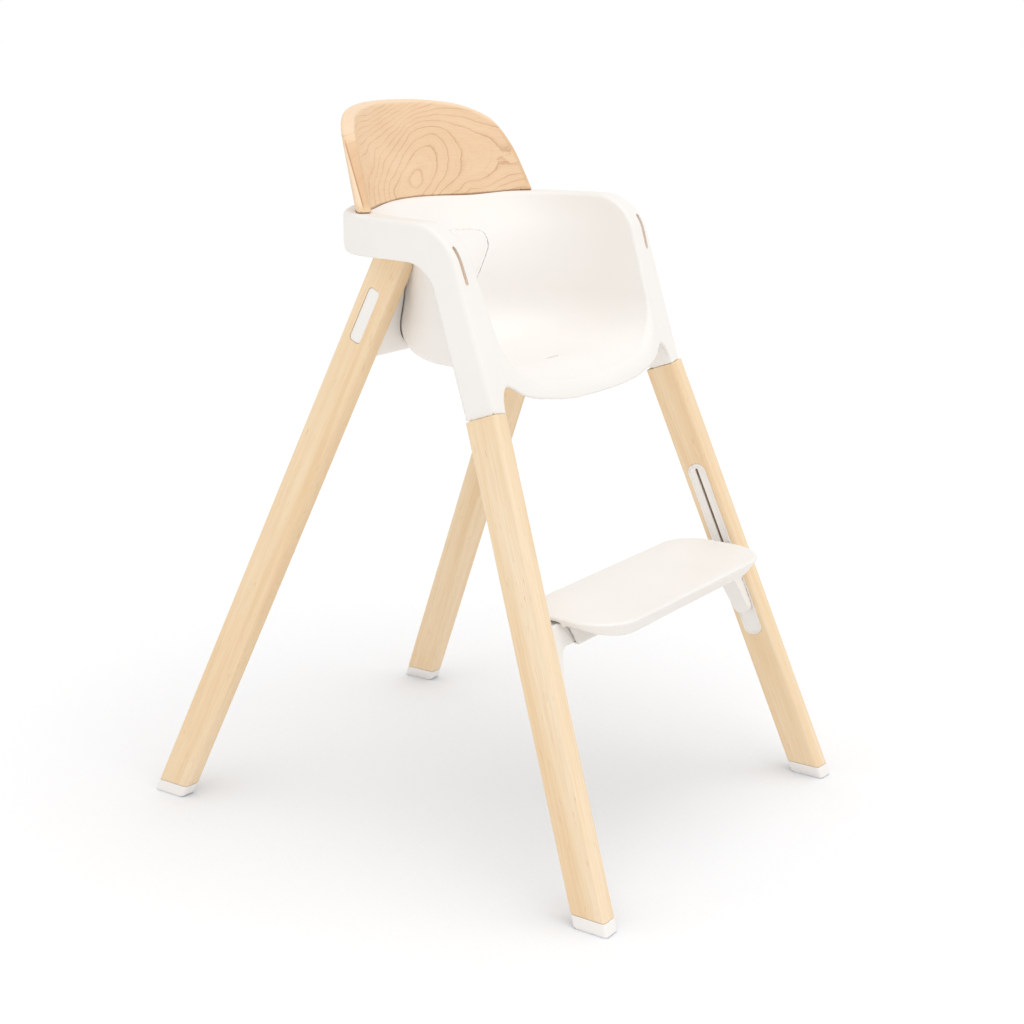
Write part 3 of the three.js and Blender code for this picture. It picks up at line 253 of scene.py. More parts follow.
class Look:
    """A material with a Principled shader, and short calls that add its nodes."""

    def __init__(self, name, **settings):
        """Settings are the shader's sockets, with _ for the spaces in their names."""
        self.material = bpy.data.materials.new(name)
        self.material.use_nodes = True
        self.tree = self.material.node_tree
        self.shader = self.tree.nodes["Principled BSDF"]
        for socket, value in settings.items():
            self.shader.inputs[socket.replace("_", " ")].default_value = value

    def node(self, kind, inputs=None, **settings):
        """A node of any kind, each of its inputs a value or another node's output."""
        node = self.tree.nodes.new(kind)
        for name, value in settings.items():
            setattr(node, name, value)
        for socket, value in (inputs or {}).items():
            if isinstance(value, bpy.types.NodeSocket):
                self.tree.links.new(value, node.inputs[socket])
            else:
                node.inputs[socket].default_value = value
        return node

    def scaled(self, vector, scale, shift=(0, 0, 0)):
        """Coordinates times scale plus shift."""
        inputs = {"Vector": vector, "Scale": scale, "Location": shift}
        return self.node("ShaderNodeMapping", inputs).outputs[0]

    def noise(self, vector, scale, detail=2.0, roughness=0.5, distortion=0.0):
        """Cloudy values between 0 and 1."""
        inputs = {"Vector": vector, "Scale": scale, "Detail": detail, "Roughness": roughness,
                  "Distortion": distortion}
        return self.node("ShaderNodeTexNoise", inputs).outputs["Fac"]

    def ramp(self, value, *stops):
        """Colours between stops, each a place from 0 to 1 and its colour."""
        node = self.node("ShaderNodeValToRGB", {"Fac": value})
        ramp = node.color_ramp
        while len(ramp.elements) < len(stops):
            ramp.elements.new(0.5)
        for element, (at, colour) in zip(ramp.elements, stops):
            element.position = at
            element.color = colour
        return node.outputs[0]

    def math(self, kind, a, b=0.0, c=0.0):
        """One sum on up to three values."""
        return self.node("ShaderNodeMath", {0: a, 1: b, 2: c}, operation=kind).outputs[0]

    def mix(self, factor, a, b):
        """Colour a at factor 0 and b at factor 1."""
        return self.node("ShaderNodeMix", {0: factor, 6: a, 7: b}, data_type="RGBA").outputs[2]

    def link(self, value, socket):
        """Let a value drive one of the shader's sockets."""
        self.tree.links.new(value, self.shader.inputs[socket])

    def bump(self, height, strength, distance):
        """Small relief from a height."""
        inputs = {"Height": height, "Strength": strength, "Distance": distance}
        self.link(self.node("ShaderNodeBump", inputs).outputs[0], "Normal")


def moulded_plastic(name, colour, roughness, specular=0.45):
    """Satin moulded plastic: faint mottling of colour and gloss, very fine pebbled bump; painted bounce light makes it
    whiter where "inside" is 1, and painted warm bounce light gives a warmer tone in deep slots, where it is -1."""
    look = Look(name, Specular_IOR_Level=specular)
    place = look.node("ShaderNodeTexCoord").outputs["Object"]
    inside = look.node("ShaderNodeAttribute", attribute_name="inside").outputs["Fac"]
    low, high = linear(*(c - 2 for c in colour)), linear(*(min(255, c + 1) for c in colour))
    tone = look.ramp(look.noise(place, 9.0, 3.0), (0.3, low), (0.7, high))
    # Painted light: the bowl's inside is made whiter, standing in for light bounced round it.
    tone = look.mix(inside, tone, linear(245, 242, 238))
    # Painted light: deep slots take a warm tone, standing in for warm light bounced inside them.
    tone = look.mix(look.math("MULTIPLY", inside, -1.0), tone, linear(255, 228, 196))
    look.link(tone, "Base Color")
    look.link(look.ramp(look.noise(place, 40.0, 2.0), (0.3, grey(roughness - 0.03)),
                        (0.7, grey(roughness + 0.04))), "Roughness")
    look.bump(look.noise(place, 900.0, 2.0), 0.06, 0.0002)
    return look.material


def finish_piece(obj, look, slot, body, *nodes):
    """Dress a piece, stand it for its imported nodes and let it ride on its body."""
    obj.data.materials.clear()
    obj.data.materials.append(look)
    obj.data.polygons.foreach_set("material_index", np.zeros(len(obj.data.polygons), np.int32))
    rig.replaces(obj, *nodes)
    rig.slot(obj, slot)
    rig.ride(obj, body)


cap_rubber = moulded_plastic("cap_rubber", (244, 240, 236), 0.55, 0.3)
for name, leg, (width, depth) in (("front", FRONT_FRAME, FRONT_SECTION), ("rear", REAR_FRAME, REAR_SECTION)):
    whole = rounded_ring(width, depth, LEG_CORNER)
    top = rounded_ring(width - 1.0, depth - 1.0, LEG_CORNER - 0.5)
    sole = rounded_ring(width - 2.6, depth - 4.4, LEG_CORNER - 1.2)
    rings = [level_ring(leg, sole, CAP_SOLE), level_ring(leg, whole, CAP_BEVEL),
             level_ring(leg, whole, CAP_SHOULDER), level_ring(leg, top, CAP_TOP)]
    cap = smooth_by_angle(mesh_object(f"{name}_foot_cap_left_rubber", *tube(rings), leg))
    twin = mirror_object(cap, f"{name}_foot_cap_right_rubber")
    finish_piece(cap, cap_rubber, "cap_rubber", "chair", f"{name}_foot_cap_left")
    finish_piece(twin, cap_rubber, "cap_rubber", "chair", f"{name}_foot_cap_right")

# ================================================================ covers on the rear legs
# Flat white plates with round corners, moulded in plastic. Each clips into a pocket in a
# rear leg's outer face, a little below the wood, and hides the two bolts behind it.
REAR_BOLTS = (660.0, 700.0)          # lengths up the leg
COVER_MIDDLE = sum(REAR_BOLTS) / 2
COVER_BACK = 0.65                    # behind the middle of the leg
COVER_WIDTH, COVER_LENGTH, COVER_CORNER = 16.3, 66.0, 5.0
COVER_PROFILE = [(0, 8.95), (0, 10.45), (0.2, 10.75), (0.7, 10.95), (5, 10.95)]


def capsule_ring(width, length, radius, u, s):
    """Outline with round corners on a leg's side, its middle at (u, s): back and along."""
    return rounded_ring(width, length, radius, 8) + (u, s)


def plate(name, axes, size, middle, profile):
    """Plate on a leg's side: its outline of size (width, length, corner), drawn in by each
    inset of the profile at the depth v across the leg that stands beside it."""
    width, length, radius = size
    rings = []
    for inset, v in profile:
        ring = capsule_ring(width - 2 * inset, length - 2 * inset, max(radius - inset, 0.5), *middle)
        rings.append(np.column_stack([np.full(len(ring), v), ring]))
    return mesh_object(name, *tube(rings), axes)


trim_plastic = moulded_plastic("trim_plastic", (243, 239, 234), 0.4)
cover = plate("rear_leg_cover_left_plate", REAR_FRAME, (COVER_WIDTH, COVER_LENGTH, COVER_CORNER),
              (COVER_BACK, COVER_MIDDLE), COVER_PROFILE)
smooth_by_angle(cover)
twin = mirror_object(cover, "rear_leg_cover_right_plate")
finish_piece(cover, trim_plastic, "trim_plastic", "chair", "rear_leg_cover_left")
finish_piece(twin, trim_plastic, "trim_plastic", "chair", "rear_leg_cover_right")

# ================================================================ footrest tracks
# Long white plastic rails with round ends, let into the front legs' inner faces. A raised rim
# goes round a sunk floor, with the slot and the channel behind it that a slider runs in.
TRACK_FROM, TRACK_TO = 201.6, 433.8  # lengths up the leg
TRACK_MIDDLE = (TRACK_FROM + TRACK_TO) / 2
TRACK_WIDTH, TRACK_CORNER = 25.4, 11
TRACK_PROFILE = [(5, -2.9), (0, -2.9), (0, -12.3), (0.25, -12.75), (0.7, -12.9), (1.45, -12.87),
                 (1.7, -12.6), (1.8, -12.0), (1.9, -11.3), (8, -11.3)]
SLOT_SIZE, SLOT_MIDDLE = (4.0, 192.0, 1.95), 332.0
CHANNEL_SIZE, CHANNEL_MIDDLE = (13.0, 199.0, 1.0), 331.5


def pocket(name, axes, v0, v1, ring):
    """Closed prism over an outline on a leg's side, from depth v0 to v1 across the leg."""
    a = np.column_stack([np.full(len(ring), v0), ring])
    b = np.column_stack([np.full(len(ring), v1), ring])
    return mesh_object(name, *tube((a, b) if v1 > v0 else (b, a)), axes)


def carve(obj, *tools):
    """Subtract closed tool meshes exactly and delete them."""
    for tool in tools:
        cutter = obj.modifiers.new("cut", "BOOLEAN")
        cutter.object = tool
        cutter.operation = "DIFFERENCE"
        cutter.solver = "EXACT"
        shaped = obj.evaluated_get(bpy.context.evaluated_depsgraph_get())
        done = bpy.data.meshes.new_from_object(shaped)
        obj.modifiers.clear()
        old = obj.data
        obj.data = done
        bpy.data.meshes.remove(old)
        bpy.data.objects.remove(tool)
    return obj


track = plate("footrest_track_left_rail", FRONT_FRAME, (TRACK_WIDTH, TRACK_TO - TRACK_FROM, TRACK_CORNER),
              (0, TRACK_MIDDLE), TRACK_PROFILE)
carve(track, pocket("slot_tool", FRONT_FRAME, -20, -8, capsule_ring(*SLOT_SIZE, 0, SLOT_MIDDLE)),
      pocket("channel_tool", FRONT_FRAME, -9.3, 0, capsule_ring(*CHANNEL_SIZE, 0, CHANNEL_MIDDLE)))
smooth_by_angle(track)
twin = mirror_object(track, "footrest_track_right_rail")
finish_piece(track, trim_plastic, "trim_plastic", "chair", "footrest_track_left")
finish_piece(twin, trim_plastic, "trim_plastic", "chair", "footrest_track_right")

# ================================================================ seat shell
# One satin white plastic moulding: the bowl, two arms that end in sockets for the front legs,
# a band round the back that is open underneath, and the front lip. The backrest stands in a
# pocket of the band, the arms have slots for a tray's hooks, and the floor one for a strap.
RIM = 733.0                                    # level top of arms and band
WALL = 4.8
CENTRE_Y = -85.0                               # centre of the round back and of the backrest
BACK_LEAN, FACE_LEAN = 0.22, 0.326             # backwards for each millimetre up
BOWL_Y = -60.0                                 # ahead of this the bowl's sides run straight
BOWL_FLOOR, BOWL_CORNER = 560.0, 50.0
FLOOR_DIP, DIP_FROM, DIP_LENGTH = 15, -85, 65  # the seat falls towards the lip
FACE_Y, FACE_Z = -143.1, 530.5                 # a point on the leaning front face
LIP_SWELL, SWELL_HALF = 12, 165                # the lip stands out between the arms
BAND_HALF, BAND_RADIUS, BAND_CORNER = 201.6, 242.7, 60.0
BAND_LOW, BAND_EDGE = 688.7, 6.5
ARM_BEND, ARM_CORNER = 42.0, 29.0              # roundings above and below the arm
FRONT_SHOULDER = 564.5                         # length up the front leg where its socket ends
UNDER_HALF, UNDER_TOP, UNDER_BACK = 175, 694, 25     # hollow between the front sheet and the bowl
PAD_X, PAD_Y, PAD_HALF = 172, 18, (24, 28)     # solid pads over the rear legs
POCKET_WALL, POCKET_LOW = 232.6, 693           # wall behind the backrest's tongue
# Room for the backrest as two radii, half its angle and two heights, then the strap's slot
# as the corners of its plan and two heights, and a tray slot as its size and its middle.
PLATE_ROOM = (211.7, 228.3, np.arcsin(160.3 / 228), 699.7, 745)
STRAP_SLOT, STRAP_SLOT_Z = ((-13, -84.6), (13, -84.6), (13, -80.6), (-13, -80.6)), (544, 574)
TRAY_SLOT_SIZE, TRAY_SLOT_X, TRAY_SLOT_Z, TRAY_SLOT_Y = (5.4, 41.5, 2.6), 187.9, 688.6, (-129.1, -163)


def smooth_curve(xs, ys):
    """Function through the points (xs, ys): cubic Hermite pieces, slopes from neighbours."""
    xs, ys = np.asarray(xs, float), np.asarray(ys, float)
    slopes = np.gradient(ys, xs)

    def value(x):
        x = np.clip(x, xs[0], xs[-1])
        i = np.clip(np.searchsorted(xs, x) - 1, 0, len(xs) - 2)
        h = xs[i + 1] - xs[i]
        t = (x - xs[i]) / h
        return (ys[i] * (1 + 2 * t) * (1 - t) ** 2 + ys[i + 1] * t * t * (3 - 2 * t)
                + h * slopes[i] * t * (1 - t) ** 2 - h * slopes[i + 1] * t * t * (1 - t))
    return value


def smooth_step(t):
    """0 below t = 0, 1 above t = 1, and 3t^2 - 2t^3 between."""
    t = np.clip(t, 0, 1)
    return t * t * (3 - 2 * t)


def both(a, b, r):
    """Intersection of two solids given as distances, its edge rounded to radius r:
    min(max(a, b), -r) + |(max(a + r, 0), max(b + r, 0))|."""
    u, v = np.maximum(a + r, 0), np.maximum(b + r, 0)
    return np.minimum(np.maximum(a, b), -r) + np.sqrt(u * u + v * v)


def either(a, b, r):
    """Union of two solids with a fillet of radius r, the opposite of `both`."""
    return -both(-a, -b, r)


def spline(points, steps=8, closed=False):
    """Points on a Catmull-Rom curve through the given points."""
    p = np.asarray(points, float)
    if closed:
        p = np.vstack([p[-1:], p, p[:2]])
    else:
        p = np.vstack([2 * p[0] - p[1], p, 2 * p[-1] - p[-2]])
    t = np.linspace(0, 1, steps, endpoint=False)[:, None]
    pieces = [0.5 * (2 * b + (c - a) * t + (2 * a - 5 * b + 4 * c - d) * t ** 2
                     + (3 * b - a - 3 * c + d) * t ** 3)
              for a, b, c, d in zip(p[:-3], p[1:-2], p[2:-1], p[3:])]
    ends = [] if closed else [p[-2:-1]]
    return np.vstack(pieces + ends)


def outline_field(outline, low, high):
    """Signed distance to a closed outline, negative inside, read from a 1 mm table: the
    least distance to any edge, with the sign from how many edges lie to the right."""
    us, vs = (np.arange(a, b + 1.0) for a, b in zip(low, high))
    grid_u, grid_v = np.meshgrid(us, vs, indexing="ij")
    u, v = grid_u.ravel(), grid_v.ravel()
    nearest, inside = np.full(u.shape, 1e9), np.zeros(u.shape, bool)
    for (au, av), (bu, bv) in zip(outline, np.roll(outline, -1, axis=0)):
        du, dv = bu - au, bv - av
        t = np.clip(((u - au) * du + (v - av) * dv) / (du * du + dv * dv + 1e-12), 0, 1)
        nearest = np.minimum(nearest, (u - au - t * du) ** 2 + (v - av - t * dv) ** 2)
        crosses = (av > v) != (bv > v)
        inside ^= crosses & (u < au + (v - av) * du / np.where(dv == 0, 1e-12, dv))
    table = (np.sqrt(nearest) * np.where(inside, -1, 1)).reshape(grid_u.shape)

    def value(u, v):
        fu = np.clip(u - us[0], 0, len(us) - 1.001)
        fv = np.clip(v - vs[0], 0, len(vs) - 1.001)
        i, j = fu.astype(int), fv.astype(int)
        a, b = fu - i, fv - j
        return ((table[i, j] * (1 - a) + table[i + 1, j] * a) * (1 - b)
                + (table[i, j + 1] * (1 - a) + table[i + 1, j + 1] * a) * b)
    return value


def in_frame(axes, x, y, z):
    """Coordinates of points in a leg's own axes: out, back and along."""
    turn = np.array(axes.to_3x3())
    dx, dy, dz = x - axes.translation[0], y - axes.translation[1], z - axes.translation[2]
    return [dx * turn[0, k] + dy * turn[1, k] + dz * turn[2, k] for k in range(3)]


# Half width, half length and squareness of the bowl's section at each height.
side_at = smooth_curve([560, 585, 610, 650, 690, 712, 733, 750],
                       [155.5, 157, 158.5, 162.5, 165.5, 167.8, 170.2, 172])
back_at = smooth_curve([560, 585, 610, 650, 690, 712, 733, 750], [78, 78.2, 78.6, 82.2, 98, 110, 123, 133])
square_at = smooth_curve([560, 610, 650, 690, 712, 733, 750], [2.95, 2.35, 2.1, 2.12, 2.35, 2.55, 2.7])
# Rear face of the arm, y at each height.
arm_rear = smooth_curve([500, 522.5, 581.6, 630.5, 690, 760], [-111.5, -104.7, -86.7, -71.5, -53, -31])
# Lower edge of the shell seen from the front, (x, z), with the notches beside the sockets.
LIP_OUTLINE = [(-103.6, 535), (-56, 529), (0, 527.7), (56, 529), (83.7, 531.7), (103.6, 535), (121.7, 538),
               (138.8, 543.3), (147, 547.8), (153.5, 552), (159, 555.6), (164, 556.6), (168, 554.6),
               (171.5, 550), (174.7, 543), (176.6, 534), (177.5, 520), (178, 500)]
lip_field = outline_field(np.vstack([spline(LIP_OUTLINE, 6), [(300, 480), (300, 900), (-103.6, 900)]]),
                          (-6, 490), (215, 760))


def bowl_field(x, y, z):
    """Distance-like field, negative inside the bowl: a section |x/a|^n + |Y/b|^n = 1 of
    changing a, b and n, with straight sides ahead of BOWL_Y, rounded into the floor, which
    dips towards the lip."""
    a, b, n = side_at(z), back_at(z) - BOWL_Y, square_at(z)
    across, behind = np.abs(x) / a, np.maximum(y - BOWL_Y, 0) / b
    px, py = across ** n, behind ** n
    r = np.maximum((px + py) ** (1 / n), 0.05)
    e = 0.5
    da = (side_at(z + e) - side_at(z - e)) / (2 * e)
    db = (back_at(z + e) - back_at(z - e)) / (2 * e)
    k = r ** (1 - n)
    gx, gy = k * across ** (n - 1) / a, k * behind ** (n - 1) / b
    gz = k * (px * da / a + py * db / b)
    side = (r - 1) / np.sqrt(gx * gx + gy * gy + gz * gz + 1e-9)
    dip = FLOOR_DIP * smooth_step((DIP_FROM - y) / DIP_LENGTH) * np.maximum(1 - (x / SWELL_HALF) ** 2, 0)
    floor = BOWL_FLOOR + 2.2e-4 * x * x - dip - z
    return both(side, floor, BOWL_CORNER)


def front_field(x, y, z):
    """Distance ahead of the leaning front face, which swells forward between the arms. The
    last division is by the length of the face's slope."""
    swell = LIP_SWELL * (1 - np.minimum(1, np.abs(x) / SWELL_HALF) ** 2.6)
    return (FACE_Y + FACE_LEAN * (z - FACE_Z) - swell - y) / 1.052


def plan_field(x, y):
    """Distance outside the band's plan: straight sides and a round back, corners rounded."""
    return both(np.abs(x) - BAND_HALF, np.hypot(x, y - CENTRE_Y) - BAND_RADIUS, BAND_CORNER)


def shell_block(x, y, z):
    """The shell before it is hollowed: the outer form without the bowl, kept where the
    arms, the band, the front sheet and the bowl's wall are."""
    bowl, front, plan = bowl_field(x, y, z), front_field(x, y, z), plan_field(x, y)
    outer = both(both(z - RIM, front, ARM_BEND), plan, BAND_EDGE)
    # Space below the band and behind the arms, whose slope has the length 1.046.
    below_band = both(z - BAND_LOW + 2.2 * smooth_step(y / 80), (arm_rear(z) + 1.8 - y) / 1.046, ARM_CORNER)
    edge = 4.5 + 5.5 * smooth_step((620 - z) / 60)
    rim = both(outer, -bowl, edge)
    reach = both(outer, either(-below_band, bowl - WALL, 4.0), 2.0 + 4.0 * smooth_step((y - 40) / 90))
    # Space behind the front sheet and below the bowl, as far up as the underside of the arms.
    under = both(front + WALL, WALL - bowl, edge - WALL + 0.05)
    under = np.maximum(under, np.maximum(np.abs(x) - UNDER_HALF, np.maximum(z - UNDER_TOP, y - UNDER_BACK)))
    whole = both(np.maximum(rim, reach), -under, 1.0)
    whole = both(whole, lip_field(np.abs(x), z), 3.0)
    s = in_frame(FRONT_FRAME, np.abs(x), y, z)[2]
    return both(whole, FRONT_SHOULDER + 0.3 - s, 0.8)


def backrest_level(y, z):
    """Distance behind the axis of the backrest's bend, which leans back with height."""
    return y - CENTRE_Y - BACK_LEAN * (z - RIM)


def shell_field(x, y, z):
    """The block with its band open underneath, but for the pocket that holds the backrest
    and the pads that stand on the rear legs."""
    level = backrest_level(y, z)
    pocket_wall = np.maximum(np.hypot(x, level) - POCKET_WALL, np.maximum(POCKET_LOW - z, 20 - level))
    pad = np.maximum(np.abs(np.abs(x) - PAD_X) - PAD_HALF[0], np.abs(y - PAD_Y) - PAD_HALF[1])
    inside = np.maximum(plan_field(x, y) + WALL, WALL - bowl_field(x, y, z))
    room = np.maximum(np.maximum(z - RIM + WALL, arm_rear(z) + 12 - y), inside)
    room = np.maximum(room, -np.minimum(pocket_wall, pad))
    return both(shell_block(x, y, z), -room, 0.6)


def gradient(field, p, e):
    """Slope of a field at points p, from the differences over 2e along each axis."""
    slopes = []
    for axis in range(3):
        step = np.zeros(3)
        step[axis] = e
        slopes.append((field(*(p + step).T) - field(*(p - step).T)) / (2 * e))
    return np.stack(slopes, axis=1)


def net(field, low, high, step):
    """Points and four-sided faces over the surface field(x, y, z) = 0: one point in each
    grid cell that it crosses, at the mean of the cell's edge crossings, one face round
    each crossed grid edge, then Newton steps p -= f grad f / |grad f|^2 onto it."""
    axes = [np.arange(a, b + step, step) for a, b in zip(low, high)]
    value = field(*np.meshgrid(*axes, indexing="ij"))
    shape = np.array(value.shape)
    total, count = np.zeros((*shape, 3)), np.zeros(shape)
    crossings = []
    for axis in range(3):
        here = [slice(None)] * 3
        there = [slice(None)] * 3
        here[axis], there[axis] = slice(0, -1), slice(1, None)
        a, b = value[tuple(here)], value[tuple(there)]
        at = np.argwhere((a < 0) != (b < 0))
        va, vb = a[tuple(at.T)], b[tuple(at.T)]
        inner = np.all((at > 0) & (at < shape - 1), axis=1)
        at, va, vb = at[inner], va[inner], vb[inner]
        point = at.astype(float)
        point[:, axis] += va / (va - vb)
        crossings.append((at, va < 0))
        others = [k for k in range(3) if k != axis]
        for da in (0, 1):
            for db in (0, 1):
                cell = at.copy()
                cell[:, others[0]] -= da
                cell[:, others[1]] -= db
                np.add.at(total, tuple(cell.T), point)
                np.add.at(count, tuple(cell.T), 1)
    cells = np.argwhere(count > 0)
    number = np.full(shape, -1)
    number[tuple(cells.T)] = np.arange(len(cells))
    points = total[tuple(cells.T)] / count[tuple(cells.T)][:, None] * step + np.asarray(low, float)
    faces = []
    for axis, (at, rising) in enumerate(crossings):
        b, c = (axis + 1) % 3, (axis + 2) % 3
        corners = []
        for db, dc in ((1, 1), (0, 1), (0, 0), (1, 0)):
            cell = at.copy()
            cell[:, b] -= db
            cell[:, c] -= dc
            corners.append(number[tuple(cell.T)])
        quad = np.stack(corners, axis=1)
        quad[~rising] = quad[~rising][:, ::-1]
        faces.append(quad)
    for _ in range(3):
        slope = gradient(field, points, 0.3)
        move = -field(*points.T)[:, None] * slope / (np.sum(slope * slope, axis=1)[:, None] + 1e-9)
        length = np.linalg.norm(move, axis=1)[:, None]
        points = points + move * np.minimum(1, 0.5 * step / (length + 1e-9))
    return points, np.vstack(faces)


points, faces = net(shell_field, (-207, -166, 520), (207, 162, 738), 2.45)
shell = mesh_object("seat_shell_moulding", points, faces)


def curved_slab(name, inner, outer, half, low, high):
    """Closed sector of wall between two radii about the axis of the backrest's bend, half
    the angle to each side, leaning back with it from its low to its high edge."""
    turn = np.linspace(-half, half, 65)
    rings = []
    for z in (low, high):
        walls = [np.stack([radius * np.sin(turn), CENTRE_Y + radius * np.cos(turn) + BACK_LEAN * (z - RIM),
                           np.full(len(turn), z)], axis=1) for radius in (outer, inner)]
        rings.append(np.vstack([walls[0], walls[1][::-1]]))
    n, m = len(turn), 2 * len(turn)
    k = np.arange(m)
    side = np.stack([(k + 1) % m, k, k + m, (k + 1) % m + m], axis=1)
    j = np.arange(n - 1)
    bottom = np.stack([j, j + 1, m - 2 - j, m - 1 - j], axis=1)
    top = bottom[:, ::-1] + m
    quads = np.vstack([side, bottom, top])
    return mesh_object(name, np.vstack(rings), np.vstack([quads[:, [0, 1, 2]], quads[:, [0, 2, 3]]]))


ring = np.array(STRAP_SLOT, float)
tools = [curved_slab("slot_for_backrest", *PLATE_ROOM),
         mesh_object("strap_slot", *tube([np.column_stack([ring, np.full(4, z)]) for z in STRAP_SLOT_Z]))]
ring = rounded_ring(*TRAY_SLOT_SIZE)
for sign in (1, -1):
    ends = []
    for y in TRAY_SLOT_Y:
        z = TRAY_SLOT_Z + ring[:, 1]
        x = sign * (TRAY_SLOT_X + 0.06 * (z - TRAY_SLOT_Z)) + ring[:, 0]
        ends.append(np.column_stack([x, y + FACE_LEAN * (z - FACE_Z), z]))
    tools.append(mesh_object("tray_slot", *tube(ends)))
carve(shell, *tools)

# Right half of the hatch's outline, (x, z), and the recess that the shell has for it.
HATCH = [(0, 624), (30, 624.3), (48, 626.5), (58, 631.5), (65, 641), (71.7, 652.3), (77.1, 660.6),
         (81.2, 668), (83.4, 675), (83.9, 680.5), (82, 685.9), (78, 688.7), (67.6, 690.1), (46, 691),
         (0, 691.5)]
HATCH_MIDDLE = 660.0
HATCH_SHARES = np.linspace(0.06, 0.94, 10)
HATCH_GAP, RECESS_DEPTH, INLAY_DEPTH = 1.6, 1.2, 1.1


def on_bowl(x, z, depth):
    """Y of the bowl's back surface where its field has the value depth, by bisection."""
    low, high = np.full(x.shape, 0.0), np.full(x.shape, 160.0)
    for _ in range(30):
        middle = (low + high) / 2
        inside = bowl_field(x, middle, z) < depth
        low, high = np.where(inside, middle, low), np.where(inside, high, middle)
    return (low + high) / 2


def hatch_skin(name, grow, face, edge, back):
    """Closed plate in the bowl's wall over the hatch's outline, grown by a distance. Its
    rings go out at the depth of its face, round its edge by (inset, depth) and in again at
    the depth of its back."""
    half = spline(HATCH, 8)
    outline = np.vstack([half, (half * (-1, 1))[::-1][1:-1]])
    centre = np.array([0.0, HATCH_MIDDLE])
    reach = np.linalg.norm(outline - centre, axis=1)[:, None]
    levels = [(share, 0, face) for share in HATCH_SHARES]
    levels += [(1, inset, depth) for inset, depth in edge]
    levels += [(share, 0, back) for share in HATCH_SHARES[::-1]]
    rings = []
    for share, inset, depth in levels:
        ring = centre + (outline - centre) * share * (1 + (grow - inset) / reach)
        y = on_bowl(ring[:, 0], ring[:, 1], depth)
        rings.append(np.column_stack([ring[:, 0], y, ring[:, 1]]))
    return mesh_object(name, *tube(rings))


carve(shell, hatch_skin("hatch_recess", HATCH_GAP, -4, [(0, -4), (0, RECESS_DEPTH)], RECESS_DEPTH))


def points_of(obj):
    """An object's vertices in millimetres."""
    co = np.empty(3 * len(obj.data.vertices), np.float32)
    obj.data.vertices.foreach_get("co", co)
    return co.reshape(-1, 3).astype(float) / MM


def put_value(obj, name, values):
    """Store one number per point."""
    layer = obj.data.attributes.new(name, "FLOAT", "POINT")
    layer.data.foreach_set("value", np.asarray(values, np.float32))


def shade(obj, field):
    """Corner normals from the field's slope, or the face's own where it was cut, which
    shows as a face whose middle lies off the field's surface."""
    mesh = obj.data
    faces = len(mesh.polygons)
    corner = np.empty(len(mesh.loops), np.int32)
    flat, middle = np.empty(3 * faces, np.float32), np.empty(3 * faces, np.float32)
    sizes = np.empty(faces, np.int32)
    mesh.loops.foreach_get("vertex_index", corner)
    mesh.polygons.foreach_get("normal", flat)
    mesh.polygons.foreach_get("center", middle)
    mesh.polygons.foreach_get("loop_total", sizes)
    slope = gradient(field, points_of(obj), 0.5)
    slope /= np.linalg.norm(slope, axis=1)[:, None] + 1e-9
    middle = middle.reshape(-1, 3).astype(float) / MM
    fall = gradient(field, middle, 0.5)
    away = np.abs(field(*middle.T)) / (np.linalg.norm(fall, axis=1) + 1e-9)
    cut = np.repeat(away > 0.35, sizes)
    normal = slope[corner]
    normal[cut] = np.repeat(flat.reshape(-1, 3), sizes, axis=0)[cut]
    mesh.normals_split_custom_set(normal.tolist())


shell_plastic = moulded_plastic("shell_plastic", (243, 239, 234), 0.42)
# Painted light on the shell: a whiter tone in the bowl and a warm tone in the deep slots, for light bounced in them.
co = points_of(shell).T
bowl_painted_light = 1 - smooth_step(bowl_field(*co) / 3)
slot_painted_warm_light = smooth_step((-1.0 - shell_field(*co)) / 2)
put_value(shell, "inside", bowl_painted_light - 2 * slot_painted_warm_light)
shade(shell, shell_field)
finish_piece(shell, shell_plastic, "shell_plastic", "chair", "seat_shell")

# ================================================================ wooden legs
# Four legs of pale straight-grained hardwood, planed to a section with rounded corners. The
# front ones end in the arms' sockets, the rear ones are bolted to the yoke under the band and
# are shaved hollow where they pass the bowl. Pockets take the tracks and the covers.
LEG_FROM, LEG_BEVEL = 15.1, 0.8      # just above the cap's edge
REAR_TOP, REAR_END = 688.9, 740.0    # height of the rear leg's level top, and the length there
# Pockets as (width, length, corner) and depths from and to across the leg.
TRACK_POCKET_SIZE, TRACK_POCKET = (26.0, TRACK_TO - TRACK_FROM + 0.6, 11.3), (-16, -2.6)
COVER_POCKET_SIZE, COVER_POCKET = (17.1, 66.8, 5.4), (16, 8.6)
BOWL_GAP = 0.9


def square_ring(ring, s):
    """The section ring square across the leg, at a length s along it."""
    return np.column_stack([ring, np.full(len(ring), s)])


def leg_body(axes, section, end):
    """Rings of a leg from its cap up to near its end, its lower end bevelled, with the whole
    and the bevelled section for the rest."""
    whole = rounded_ring(*section, LEG_CORNER)
    less = rounded_ring(section[0] - 2 * LEG_BEVEL, section[1] - 2 * LEG_BEVEL, LEG_CORNER - LEG_BEVEL)
    rings = [level_ring(axes, less, LEG_FROM), level_ring(axes, whole, LEG_FROM + LEG_BEVEL)]
    rings += [square_ring(whole, s) for s in np.linspace(45, end - 12, 24)]
    return rings, whole, less


def bowl_side_field(x, y, z):
    """The bowl and the gap round it, kept to a box about the left rear leg."""
    box = np.maximum(np.abs(y - 20) - 40, np.maximum(np.abs(z - 650) - 62, 120 - x))
    return both(bowl_field(x, y, z) - WALL - BOWL_GAP, box, 0.5)


